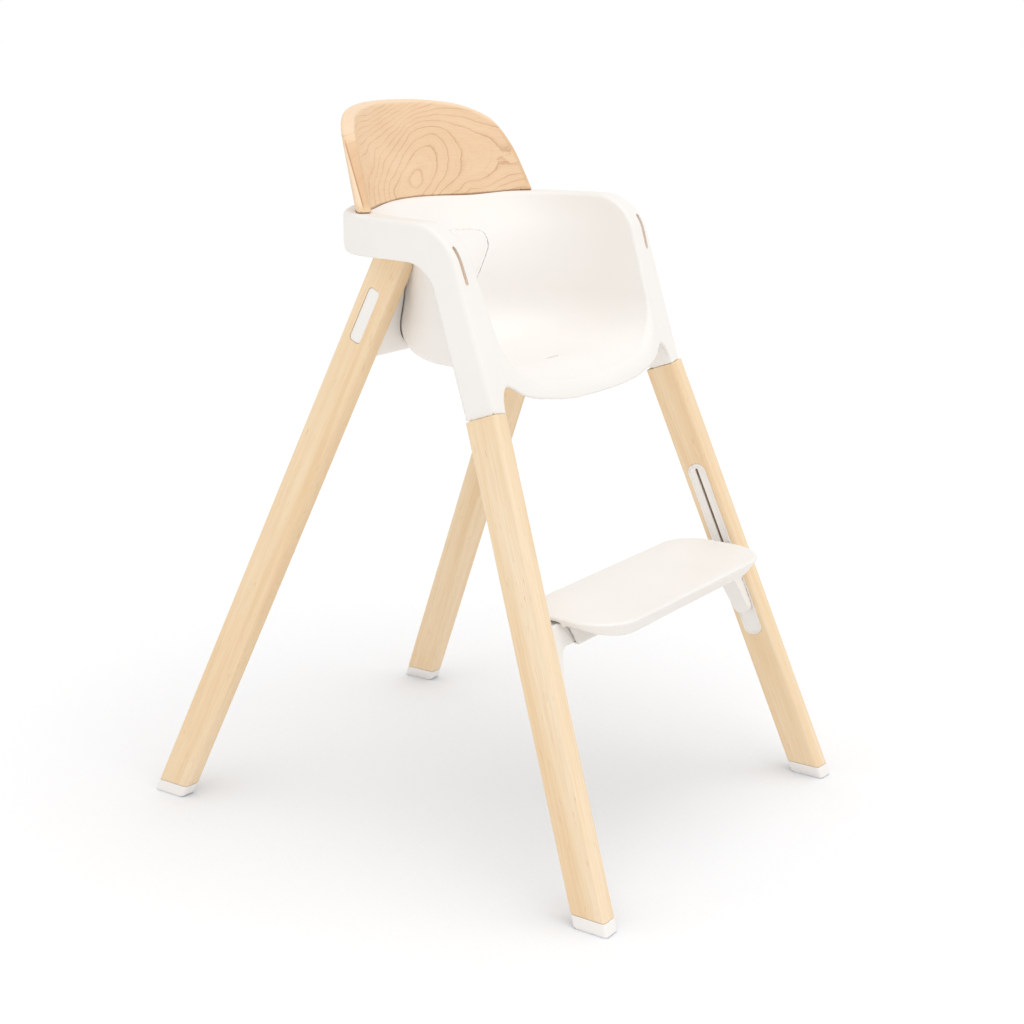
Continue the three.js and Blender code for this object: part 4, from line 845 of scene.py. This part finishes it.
def leg_wood_look():
    """Straight-grained pale hardwood along the leg: soft broad bands, fine long streaks and
    short darker flecks, from the leg's own coordinates (outwards, backwards, along)."""
    look = Look("leg_wood", Specular_IOR_Level=0.35)
    grain = look.node("ShaderNodeAttribute", attribute_name="grain").outputs["Vector"]
    bands = look.noise(look.scaled(grain, (38, 38, 1.6)), 1.0, 3.0, 0.55, 0.4)
    streaks = look.noise(look.scaled(grain, (420, 420, 6)), 1.0, 3.0, 0.6)
    fibres = look.noise(look.scaled(grain, (1500, 1500, 40)), 1.0, 2.0, 0.5)
    flecks = look.noise(look.scaled(grain, (520, 520, 55)), 1.0, 1.0, 0.4)
    pale, mid, warm = linear(248, 229, 200), linear(243, 218, 182), linear(235, 204, 162)
    colour = look.ramp(bands, (0.28, warm), (0.5, mid), (0.72, pale))
    colour = look.mix(look.ramp(streaks, (0.35, grey(0.30)), (0.62, grey(0))), colour, linear(228, 192, 146))
    colour = look.mix(look.ramp(fibres, (0.3, grey(0.16)), (0.6, grey(0))), colour, linear(214, 172, 122))
    colour = look.mix(look.ramp(flecks, (0.70, grey(0)), (0.80, grey(0.55))), colour, linear(205, 160, 112))
    look.link(colour, "Base Color")
    look.link(look.ramp(streaks, (0.3, grey(0.56)), (0.7, grey(0.48))), "Roughness")
    look.bump(fibres, 0.10, 0.0003)
    return look.material


def put_grain(obj, coordinates):
    """Store grain coordinates, in metres, on the points of a wooden piece."""
    layer = obj.data.attributes.new("grain", "FLOAT_VECTOR", "POINT")
    layer.data.foreach_set("vector", (coordinates * MM).astype(np.float32).ravel())


leg_wood = leg_wood_look()
rings, whole, less = leg_body(FRONT_FRAME, FRONT_SECTION, FRONT_SHOULDER)
rings += [square_ring(whole, FRONT_SHOULDER - LEG_BEVEL), square_ring(less, FRONT_SHOULDER)]
front_leg = mesh_object("front_leg_left_wood", *tube(rings), FRONT_FRAME)
carve(front_leg, pocket("track_pocket", FRONT_FRAME, *TRACK_POCKET,
                        capsule_ring(*TRACK_POCKET_SIZE, 0, TRACK_MIDDLE)))

rings, whole, less = leg_body(REAR_FRAME, REAR_SECTION, REAR_END)
rings += [level_ring(REAR_FRAME, whole, REAR_TOP), level_ring(REAR_FRAME, less, REAR_TOP + LEG_BEVEL)]
rear_leg = mesh_object("rear_leg_left_wood", *tube(rings), REAR_FRAME)
carve(rear_leg, pocket("cover_pocket", REAR_FRAME, *COVER_POCKET,
                       capsule_ring(*COVER_POCKET_SIZE, COVER_BACK, COVER_MIDDLE)))
points, faces = net(bowl_side_field, (116, -24, 584), (180, 64, 716), 4.0)
carve(rear_leg, mesh_object("bowl_tool", points, faces))

# Every leg is cut from another length of wood: its grain is read from a place of its own.
for leg, name, axes, shift in ((front_leg, "front_leg", FRONT_FRAME, 0),
                               (rear_leg, "rear_leg", REAR_FRAME, 900)):
    local = np.stack(in_frame(axes, *points_of(leg).T), axis=1)
    smooth_by_angle(leg)
    twin = mirror_object(leg, f"{name}_right_wood")
    put_grain(leg, local + (shift, shift, shift))
    put_grain(twin, local + (shift + 300, shift, shift + 1700))
    finish_piece(leg, leg_wood, "leg_wood", "chair", f"{name}_left")
    finish_piece(twin, leg_wood, "leg_wood", "chair", f"{name}_right")

# ================================================================ backrest
# A plate of wood veneers, glued and bent to the round of the band, with its upper edge rounded
# over. Its foot stands in the band's pocket, where screws from below hold it.
BACK_MIDDLE, BACK_REAR, BACK_HALF = 220.0, 228.0, 8.0    # radii of the bend, and half the thickness
BACK_TOP, SHOULDER_HALF, TONGUE_HALF, TONGUE_LOW, SHELL_LINE = 848, 171.6, 160, 700.3, 733.3
BACK_OUTLINE = [(171.3, 733), (166.6, 759), (160.7, 785.5), (149, 813), (135.7, 827), (106.7, 839.6),
                (62.3, 846), (27, 847.8), (0, 848)]
# Growth lines of the face veneer as places (round, up) on each level; the levels between are
# a thin-plate surface through them.
GROWTH = {0.4: [(20, 754)],
          1: [(0, 757), (20, 769), (37, 775), (41, 762), (35, 749), (20, 739), (3, 743)],
          2: [(-37, 741), (-23, 754), (0, 770), (18, 784), (36, 794), (58, 797), (66, 775), (60, 757),
              (32, 735)],
          3: [(-45, 734), (-43, 750), (-23, 764), (0, 784), (20, 796), (40, 804), (64, 809), (76, 802),
              (85, 774), (70, 750), (48, 734)],
          4: [(-61, 736), (-60, 748), (-43, 764), (-23, 780), (0, 792), (20, 808), (40, 815), (72, 816),
              (96, 804), (112, 792), (134, 786), (111, 779), (112, 770), (98, 756), (62, 735)],
          5: [(-80, 736), (-76, 752), (-50, 772), (-35, 786), (0, 803), (50, 823), (84, 822), (114, 816),
              (128, 808), (154, 800), (88, 734), (112, 742), (136, 749), (150, 756), (176, 759)],
          4.6: [(145, 772), (160, 785)],
          6: [(-98, 745), (-80, 762), (-62, 775), (-45, 791), (0, 809), (56, 828), (120, 824), (106, 735),
              (140, 741), (178, 752)],
          7: [(-125, 750), (-78, 778), (-68, 793), (-40, 799), (0, 816), (30, 829), (144, 736), (172, 743)],
          8: [(-150, 765), (-120, 796), (-75, 804), (-45, 810), (0, 823), (60, 841)],
          10: [(-175, 800), (-110, 814), (-60, 819), (-20, 829), (20, 840)],
          12: [(-150, 822), (-60, 830), (-20, 838)]}


def along_back(x):
    """Length round the plate's middle surface for a half width on its rear face: the middle
    radius times arcsin(x / rear radius)."""
    return BACK_MIDDLE * np.arcsin(np.clip(np.asarray(x, float) / BACK_REAR, -1, 1))


def back_outline_field():
    """Distance to the plate's outline laid flat: a curve over the top, and the tongue below."""
    crest = BACK_OUTLINE[-2]
    half = spline([(along_back(x), z) for x, z in BACK_OUTLINE] + [(-along_back(crest[0]), crest[1])], 6)
    half = half[half[:, 0] >= 0]
    tongue = along_back(TONGUE_HALF)
    foot = [(tongue, TONGUE_LOW), (tongue, SHELL_LINE), (along_back(SHOULDER_HALF), SHELL_LINE)]
    right = np.vstack([foot, half, [(0, BACK_TOP)]])
    left = right[::-1] * (-1, 1)
    return outline_field(np.vstack([right, left[1:]]), (-215, 690), (215, 860))


back_edge = back_outline_field()


def plate_coordinates(x, y, z):
    """Length round the plate and distance through it, in the leaning backrest."""
    level = backrest_level(y, z)
    return BACK_MIDDLE * np.arctan2(x, level), np.hypot(x, level) - BACK_MIDDLE


def backrest_field(x, y, z):
    """Curved plate of even thickness, its upper edge rounded, its foot square in the shell."""
    w, through = plate_coordinates(x, y, z)
    r = 1.0 + 3.4 * smooth_step((z - 728) / 14)
    return both(np.abs(through) - BACK_HALF, back_edge(w, z), r)


def growth_level(w, z):
    """Level of the growth lines at places (round, up): a thin plate through the known ones,
    a plane plus the sum of weights times r^2 log r, solved so that it has their levels."""
    places = np.array([(*place, level) for level, row in GROWTH.items() for place in row])
    at, levels = places[:, :2] / 50, places[:, 2]

    def bend(a, b):
        r2 = ((a[:, None, :] - b[None]) ** 2).sum(axis=2)
        return 0.5 * r2 * np.log(r2 + 1e-9)

    flat = np.column_stack([np.ones(len(at)), at])
    system = np.block([[bend(at, at) + 0.002 * np.eye(len(at)), flat], [flat.T, np.zeros((3, 3))]])
    weights = np.linalg.solve(system, np.concatenate([levels, np.zeros(3)]))
    here = np.column_stack([w, z]) / 50
    return np.hstack([bend(here, at), np.ones((len(here), 1)), here]) @ weights


def bent_wood_look():
    """Flat-sawn veneer: thin uneven brown lines at the whole values of the growth level kept on the points, over
    pinkish tan, from the plate's coordinates (round, up, through), with a painted highlight and painted shade on its
    edges and a painted contact shadow along its foot."""
    look = Look("bent_wood", Specular_IOR_Level=0.38)
    grain = look.node("ShaderNodeAttribute", attribute_name="grain").outputs["Vector"]
    figure = look.node("ShaderNodeAttribute", attribute_name="figure").outputs["Fac"]
    rounding = look.node("ShaderNodeAttribute", attribute_name="rounding").outputs["Fac"]
    foot = look.node("ShaderNodeAttribute", attribute_name="foot").outputs["Fac"]
    # Growth level, made uneven, and a line with a soft side at each whole value of it.
    slow = look.noise(look.scaled(grain, (34, 50, 20)), 1.0, 2.0, 0.5)
    ragged = look.noise(look.scaled(grain, (230, 420, 60)), 1.0, 2.0, 0.6)
    level = look.math("MULTIPLY_ADD", slow, 0.55, look.math("MULTIPLY_ADD", ragged, 0.16, figure))
    line = look.ramp(look.math("FRACT", level), (0.0, grey(1)), (0.05, grey(0.55)), (0.13, grey(0.22)),
                     (0.34, grey(0)), (0.95, grey(0.10)), (1.0, grey(1)))
    # Two fainter lines between, and both kinds weaker in patches and on the plate's edge.
    between = look.math("FRACT", look.math("MULTIPLY", level, 3.0))
    faint = look.ramp(between, (0.0, grey(0.20)), (0.2, grey(0.05)), (0.9, grey(0)), (1.0, grey(0.20)))
    fade = look.ramp(look.noise(look.scaled(grain, (22, 34, 10), (2, 1, 0)), 1.0, 2.0),
                     (0.34, grey(0.45)), (0.60, grey(1)))
    on_face = look.ramp(rounding, (0.0, grey(0.2)), (0.5, grey(0.5)), (1.0, grey(0.2)))
    strength = look.math("MULTIPLY", look.math("ADD", line, faint), look.math("MULTIPLY", fade, on_face))
    # Tan ground, its lines, long streaks and dark pores.
    streaks = look.noise(look.scaled(grain, (40, 620, 200)), 1.0, 3.0, 0.6)
    pores = look.noise(look.scaled(grain, (160, 1300, 300)), 1.0, 1.0, 0.4)
    cloud = look.noise(look.scaled(grain, (9, 20, 20)), 1.0, 2.0)
    colour = look.ramp(cloud, (0.3, linear(239, 205, 166)), (0.7, linear(244, 213, 177)))
    colour = look.mix(strength, colour, linear(184, 126, 84))
    colour = look.mix(look.ramp(streaks, (0.35, grey(0.16)), (0.6, grey(0))), colour, linear(222, 180, 136))
    colour = look.mix(look.ramp(pores, (0.66, grey(0)), (0.80, grey(0.28))), colour, linear(200, 150, 108))
    # Painted highlight: paler where the top edge is rounded over. Painted shade: darker on the edge at the sides.
    colour = look.mix(look.ramp(rounding, (0.5, grey(0)), (1.0, grey(0.5))), colour, linear(248, 224, 196))
    colour = look.mix(look.ramp(rounding, (0.0, grey(0.55)), (0.5, grey(0))), colour, linear(216, 172, 128))
    # On the side edge a painted highlight, a pale wedge where past is above 0.5, behind a painted shade line along a
    # crease.
    side = look.ramp(rounding, (0.0, grey(1)), (0.5, grey(0)))
    axes = look.node("ShaderNodeSeparateXYZ", {0: grain}).outputs
    past = look.math("MULTIPLY_ADD", look.math("MULTIPLY_ADD", axes[1], -0.07, axes[2]), 100.0, 0.18)
    painted_edge_highlight = look.ramp(past, (0.5, grey(0)), (0.6, grey(1)))
    painted_crease_shade = look.ramp(past, (0.36, grey(0)), (0.46, grey(0.6)), (0.52, grey(0.6)), (0.58, grey(0)))
    colour = look.mix(look.math("MULTIPLY", side, painted_edge_highlight), colour, linear(246, 220, 188))
    colour = look.mix(look.math("MULTIPLY", side, painted_crease_shade), colour, linear(170, 106, 58))
    # Painted contact shadow: a dark line where the plate stands in the shell.
    colour = look.mix(look.ramp(foot, (0.2, grey(0)), (0.8, grey(0.75))), colour, linear(122, 74, 42))
    look.link(colour, "Base Color")
    look.link(look.ramp(streaks, (0.3, grey(0.5)), (0.7, grey(0.42))), "Roughness")
    look.bump(streaks, 0.06, 0.0002)
    return look.material


bent_wood = bent_wood_look()
points, faces = net(backrest_field, (-180, 40, 696), (180, 180, 852), 2.3)
backrest = mesh_object("backrest_plate", points, faces)
co = points_of(backrest)
height = co[:, 2]
w, through = plate_coordinates(*co.T)
put_grain(backrest, np.stack([w, height - 780, through], axis=1))
# The growth lines cut the plate at a slant, so that its two faces show them a third apart.
put_value(backrest, "figure", growth_level(w, height)
          + 0.35 * smooth_step((through + BACK_HALF) / (2 * BACK_HALF)))
# One on the line where the plate leaves the shell, where the contact shadow is painted.
put_value(backrest, "foot", 1 - smooth_step((shell_field(*co.T) - 0.2) / 2.4))
# Half on the faces, one on the rounded edge along the top and none on the edge at the sides.
# These values also place the painted highlight on the top edge and the painted shade on the side edges.
on_edge = smooth_step((back_edge(w, height) + 6.0) / 4.0) * smooth_step((height - 735) / 10)
put_value(backrest, "rounding", 0.5 + on_edge * (smooth_step((height - 800) / 25) - 0.5))
shade(backrest, backrest_field)
finish_piece(backrest, bent_wood, "bent_wood", "chair", "backrest")

# ================================================================ harness hatch
# A thin white plastic lid let into the recess in the bowl's back wall, flush with the bowl and
# with a fine gap round it. It snaps in, and covers the hole that a harness is fixed through.
hatch_plastic = moulded_plastic("hatch_plastic", (246, 243, 239), 0.4)
hatch = hatch_skin("harness_hatch_inlay", 0, 0, [(1.4, 0.02), (0.6, 0.12), (0.1, 0.34), (0, INLAY_DEPTH)],
                   INLAY_DEPTH)
smooth_by_angle(hatch, 40)
finish_piece(hatch, hatch_plastic, "trim_plastic", "chair", "harness_hatch")

# ================================================================ footrest board
# A white plastic tray turned over: flat on top, its skirt drawn in below the edge and hollow
# underneath, with a deeper sleeve at each end that takes a carriage and opens in a slant.
BOARD_TOP, BOARD_FRONT, BOARD_BACK, BOARD_HALF = 313.0, -288.0, -156.0, 184.0
FRONT_CORNER, BACK_CORNER = 55, 45
HOLLOW_TOP, SKIRT_WALL, BOARD_EDGE = 308.6, 4.5, 3.5
SLEEVE_HALF, SLEEVE_ROOM, SLEEVE_FROM, SLEEVE_LOW, SLEEVE_TOP = 14.8, 12.0, 95, 277, 311
board_under = smooth_curve([0, 60, 121, 142, 156, 166, 173, 179, 184],
                           [290, 290, 290, 292.5, 295, 297.6, 300.6, 304, 308])
housing_end = smooth_curve([255, 279.5, 304, 307, 308.5], [146, 159.5, 173.5, 178.5, 184.5])


def arc(x, y, radius, start):
    """Quarter circle about (x, y) from an angle in degrees."""
    turn = np.radians(start + np.linspace(0, 90, 13))
    return np.column_stack([x + radius * np.cos(turn), y + radius * np.sin(turn)])


def board_outline():
    """The board's plan: a rectangle whose front corners are rounder than its back ones."""
    front, back = BOARD_HALF - FRONT_CORNER, BOARD_HALF - BACK_CORNER
    return np.vstack([arc(front, BOARD_FRONT + FRONT_CORNER, FRONT_CORNER, 270),
                      arc(back, BOARD_BACK - BACK_CORNER, BACK_CORNER, 0),
                      arc(-back, BOARD_BACK - BACK_CORNER, BACK_CORNER, 90),
                      arc(-front, BOARD_FRONT + FRONT_CORNER, FRONT_CORNER, 180)])


board_plan_field = outline_field(board_outline(), (-200, -305), (200, -140))


def beside_leg(y, z):
    """Distance from the middle plane of the sleeves, which leans with the front legs; 0.939
    makes it square to the plane."""
    return np.abs(y + 313.8 - FRONT_SLOPE[1] * z) * 0.939


def board_field(x, y, z):
    """Flat-topped tray turned over: skirt drawn in below its edge, hollow from below, with
    a deeper sleeve at each end that takes the carriage and opens in a slant."""
    drop = np.maximum(BOARD_TOP - 3 - z, 0)
    draw = 0.18 + 0.52 * smooth_step((-225 - y) / 45)
    side = (board_plan_field(x, y) + draw * drop) / np.sqrt(1 + draw * draw)
    body = both(both(z - BOARD_TOP, side, BOARD_EDGE), board_under(np.abs(x)) - z, 2.5)
    hollow = both(side + SKIRT_WALL, z - HOLLOW_TOP, 3.0)
    tray = both(body, -hollow, 1.2)
    across = beside_leg(y, z)
    sleeve = both(both(across - SLEEVE_HALF, SLEEVE_FROM - np.abs(x), 5.0),
                  np.maximum(SLEEVE_LOW - z, z - SLEEVE_TOP), 3.0)
    tray = both(either(tray, sleeve, 7.0), both(z - BOARD_TOP, side, BOARD_EDGE), 0.4)
    room = np.maximum(np.maximum(across - SLEEVE_ROOM, SLEEVE_FROM + 3 - np.abs(x)),
                      np.maximum(SLEEVE_LOW + 2.4 - z, z - HOLLOW_TOP))
    slant = np.maximum((housing_end(np.clip(z, 255, 308.5)) - np.abs(x)) * 0.86, z - 308.5)
    slant = np.maximum(slant, (across - 16) * 0.8)
    return both(both(tray, -room, 0.6), -slant, 0.6)


points, faces = net(board_field, (-188, -292, 273), (188, -152, 317), 1.9)
board = mesh_object("footrest_board_moulding", points, faces)
shade(board, board_field)
finish_piece(board, shell_plastic, "shell_plastic", "footrest", "footrest_board")

# ================================================================ footrest carriages
# The white plastic arm at each end of the footrest. A level bar reaches into the board's
# sleeve, and a tongue with a pin and a slider behind it runs down the track.
TONGUE_FACE, TONGUE_HALF_WIDTH, TONGUE_FROM = 12.2, 10.9, 234
BAR_HALF, BAR_Z, BAR_HALF_HEIGHT, BAR_FROM, BAR_TO = 10.4, 291, 10.9, 112, 172
# Side view of the tongue and the block above it, (v, s) in the leg's frame.
CARRIAGE_SIDE = [(-6, 234), (-20.9, 234), (-26.2, 262), (-32.5, 290), (-34.2, 295), (-36.8, 299.2),
                 (-40, 302), (-44, 303.4), (-60.2, 304.8), (-43.3, 328.3), (-38.6, 330.1), (-6, 325.7)]
carriage_side = outline_field(np.array(CARRIAGE_SIDE), (-80, 215), (10, 345))


def carriage_field(x, y, z):
    """Tongue that tapers down the track, a block above it and a level bar into the sleeve."""
    v, u, s = in_frame(FRONT_FRAME, x, y, z)
    face = both(np.abs(u) - TONGUE_HALF_WIDTH, TONGUE_FROM - s, 9.0)
    tongue = both(face, np.maximum(carriage_side(v, s), np.minimum(280.1 - z, 177 - x)), 1.2)
    tongue = np.maximum(tongue, v + TONGUE_FACE)
    bar = both(both(beside_leg(y, z) - BAR_HALF, np.abs(z - BAR_Z) - BAR_HALF_HEIGHT, 2.0),
               np.maximum(BAR_FROM - x, x - BAR_TO), 1.0)
    return either(tongue, bar, 0.5)


def carriage_right_field(x, y, z):
    """The mirror image of the left carriage."""
    return carriage_field(-x, y, z)


points, faces = net(carriage_field, (108, -250, 210), (232, -166, 322), 1.7)
carriage = mesh_object("footrest_carriage_left_arm", points, faces)
shade(carriage, carriage_field)
twin = mirror_object(carriage, "footrest_carriage_right_arm")
shade(twin, carriage_right_field)
finish_piece(carriage, trim_plastic, "shell_plastic", "carriage_left", "footrest_carriage_left")
finish_piece(twin, trim_plastic, "shell_plastic", "carriage_right", "footrest_carriage_right")

# ================================================================ yoke between the rear legs
# A white plastic cross piece behind and below the bowl. An ear goes up the inner face of each
# rear leg, where the bolts under the covers hold it, and two screws hold it to the bowl.
YOKE_LOW, YOKE_BAR, YOKE_EAR = 566.0, 592.0, 655.0     # heights of underside, bar and ears
EAR_REACH, EAR_FILLET = 60, 24.0
YOKE_MIDDLE, YOKE_HALF = 4, 15       # behind the rear legs' middle plane


def yoke_field(x, y, z):
    """Bar with an ear up each rear leg's inner face, in the plane of the rear legs, whose
    slope has the length 1.09."""
    v = in_frame(REAR_FRAME, np.abs(x), y, z)[0]
    behind = (y - REAR_FOOT[1] - REAR_SLOPE[1] * z) / 1.09
    leg_face = v + REAR_SECTION[0] / 2 + 0.3
    ear = both(-v - REAR_SECTION[0] / 2 - EAR_REACH, z - YOKE_EAR, 3.0)
    underside = YOKE_LOW + 0.4 * np.maximum(-2 - behind, 0) - z
    shape = both(either(z - YOKE_BAR, ear, EAR_FILLET), underside, 3.0)
    shape = both(both(shape, np.abs(behind - YOKE_MIDDLE) - YOKE_HALF, 2.5), leg_face, 0.5)
    return both(shape, WALL + 1.0 - bowl_field(x, y, z), 0.5)


points, faces = net(yoke_field, (-180, 8, 560), (180, 110, 660), 2.2)
yoke = mesh_object("rear_yoke_bracket", points, faces)
shade(yoke, yoke_field)
finish_piece(yoke, shell_plastic, "shell_plastic", "chair", "rear_yoke")

# ================================================================ screws from the yoke into the bowl
# Two zinc-plated steel screws with flat round heads, turned in from behind. Their tips stay
# within the bowl's wall.
SCREW_X, SCREW_Z = 60.0, 577.0
SCREW_PROFILE = [(65.5, 0.6), (66.6, 1.9), (85.0, 1.9), (85.1, 4.0), (87.2, 4.0), (87.65, 3.6)]    # y, radius


def steel_look():
    """Zinc-plated steel of screws and bolts: fine brushed gloss."""
    look = Look("steel", Metallic=1.0)
    place = look.node("ShaderNodeTexCoord").outputs["Object"]
    brushed = look.noise(look.scaled(place, (300, 300, 2500)), 1.0, 2.0)
    look.link(look.ramp(brushed, (0.3, linear(176, 178, 182)), (0.7, linear(198, 200, 204))), "Base Color")
    look.link(look.ramp(brushed, (0.3, grey(0.3)), (0.7, grey(0.42))), "Roughness")
    return look.material


steel = steel_look()
turn = np.linspace(0, 2 * np.pi, 24, endpoint=False)
rings = [np.column_stack([SCREW_X + r * np.sin(turn), np.full(24, y), SCREW_Z + r * np.cos(turn)])
         for y, r in SCREW_PROFILE]
screw = smooth_by_angle(mesh_object("yoke_screw_left_steel", *tube(rings)))
twin = mirror_object(screw, "yoke_screw_right_steel")
finish_piece(screw, steel, "steel", "chair", "yoke_screw_left")
finish_piece(twin, steel, "steel", "chair", "yoke_screw_right")

# ================================================================ other fastenings and sliders
# Steel screws, bolts, barrel nuts and pins, and the off-white plastic sliders in the tracks.
# They keep their plain shapes and get only their finish here.
slider_plastic = moulded_plastic("slider_plastic", (231, 227, 220), 0.35)
for name, obj in frame["nodes"].items():
    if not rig.alive(obj) or obj.hide_render:
        continue
    look = steel if any(word in name for word in ("screw", "bolt", "nut", "pin")) else slider_plastic
    for place in obj.material_slots:
        place.material = look

# ================================================================ floor
# A wide level sheet of matt white studio paper. Its colour is painted a little darker and bluer near the feet, where
# ambient occlusion stands in for their soft shade.
floor_mesh = bpy.data.meshes.new("floor")
floor_mesh.from_pydata([(-30, -30, 0), (30, -30, 0), (30, 30, 0), (-30, 30, 0)], [], [(0, 1, 2, 3)])
floor = bpy.data.objects.new("floor", floor_mesh)
scene = bpy.context.scene
scene.collection.objects.link(floor)
floor_look = Look("floor", Roughness=0.9, Specular_IOR_Level=0.1)
# Painted shade: ambient occlusion darkens the floor's colour and turns it bluer near the chair.
painted_shade_ao = floor_look.node("ShaderNodeAmbientOcclusion", {"Distance": 0.9}, samples=8).outputs["AO"]
floor_look.link(floor_look.mix(painted_shade_ao, (0.62, 0.65, 0.70, 1.0), grey(0.985)), "Base Color")
floor.data.materials.append(floor_look.material)
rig.stage(floor)

# ================================================================ studio light
# A very wide soft light overhead, two weak square lights from the front and the side, and a
# white room that is plain white to the camera and in reflections but dimmer as a light.
OVERHEAD_POWER, OVERHEAD_SPREAD, OVERHEAD_AIM = 1.05, 70, (0.12, 0.38, -1)
ROOM_LIGHT = 0.72


def aimed(direction):
    """Turn of a lamp or camera that looks along a direction."""
    return direction.to_track_quat("-Z", "Y").to_matrix().to_4x4()


def area_light(name, place, aim, size, power):
    """Square soft light that points from its place to a point."""
    data = bpy.data.lights.new(name, "AREA")
    data.shape = "SQUARE"
    data.size = size
    data.energy = power
    light = bpy.data.objects.new(name, data)
    light.matrix_world = Matrix.Translation(place) @ aimed(Vector(aim) - Vector(place))
    scene.collection.objects.link(light)


sun_data = bpy.data.lights.new("overhead", "SUN")
sun_data.energy = OVERHEAD_POWER
sun_data.angle = np.radians(OVERHEAD_SPREAD)
sun = bpy.data.objects.new("overhead", sun_data)
sun.matrix_world = aimed(Vector(OVERHEAD_AIM))
scene.collection.objects.link(sun)
area_light("front", (-0.8, -2.6, 1.7), (0, 0, 0.5), 2.2, 3)
area_light("side", (-3.0, 0.7, 0.8), (0, 0, 0.45), 1.8, 5)

world = bpy.data.worlds.new("studio")
scene.world = world
world.use_nodes = True
tree = world.node_tree
paths = tree.nodes.new("ShaderNodeLightPath").outputs
seen = paths["Is Camera Ray"]
for ray in ("Is Glossy Ray", "Is Transmission Ray"):
    larger = tree.nodes.new("ShaderNodeMath")
    larger.operation = "MAXIMUM"
    tree.links.new(seen, larger.inputs[0])
    tree.links.new(paths[ray], larger.inputs[1])
    seen = larger.outputs[0]
strength = tree.nodes.new("ShaderNodeMapRange")
tree.links.new(seen, strength.inputs["Value"])
strength.inputs["To Min"].default_value = ROOM_LIGHT
strength.inputs["To Max"].default_value = 1.0
background = tree.nodes["Background"]
background.inputs["Color"].default_value = (1, 1, 1, 1)
tree.links.new(strength.outputs[0], background.inputs["Strength"])

# ================================================================ camera
# It stands before the chair and to its right, a little above the backrest, and looks down on
# it through a lens a little longer than normal.
CAMERA_PLACE, LENS = (-1.805474, -1.292149, 0.971056), 65.96
AZIMUTH, ELEVATION = np.radians(-54.943), np.radians(15.439)
camera_data = bpy.data.cameras.new("camera")
camera_data.lens = LENS
camera_data.sensor_width = 36
camera = bpy.data.objects.new("camera", camera_data)
back = Vector((np.sin(AZIMUTH) * np.cos(ELEVATION), -np.cos(AZIMUTH) * np.cos(ELEVATION), np.sin(ELEVATION)))
camera.matrix_world = Matrix.Translation(CAMERA_PLACE) @ aimed(-back)
scene.collection.objects.link(camera)
scene.camera = camera
scene.view_settings.view_transform = "Standard"

with open("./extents.json", "w") as out:
    json.dump({"cad": [list(map(float, c)) for c in cad_box], "seen": [list(map(float, c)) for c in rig.bounds()]}, out)
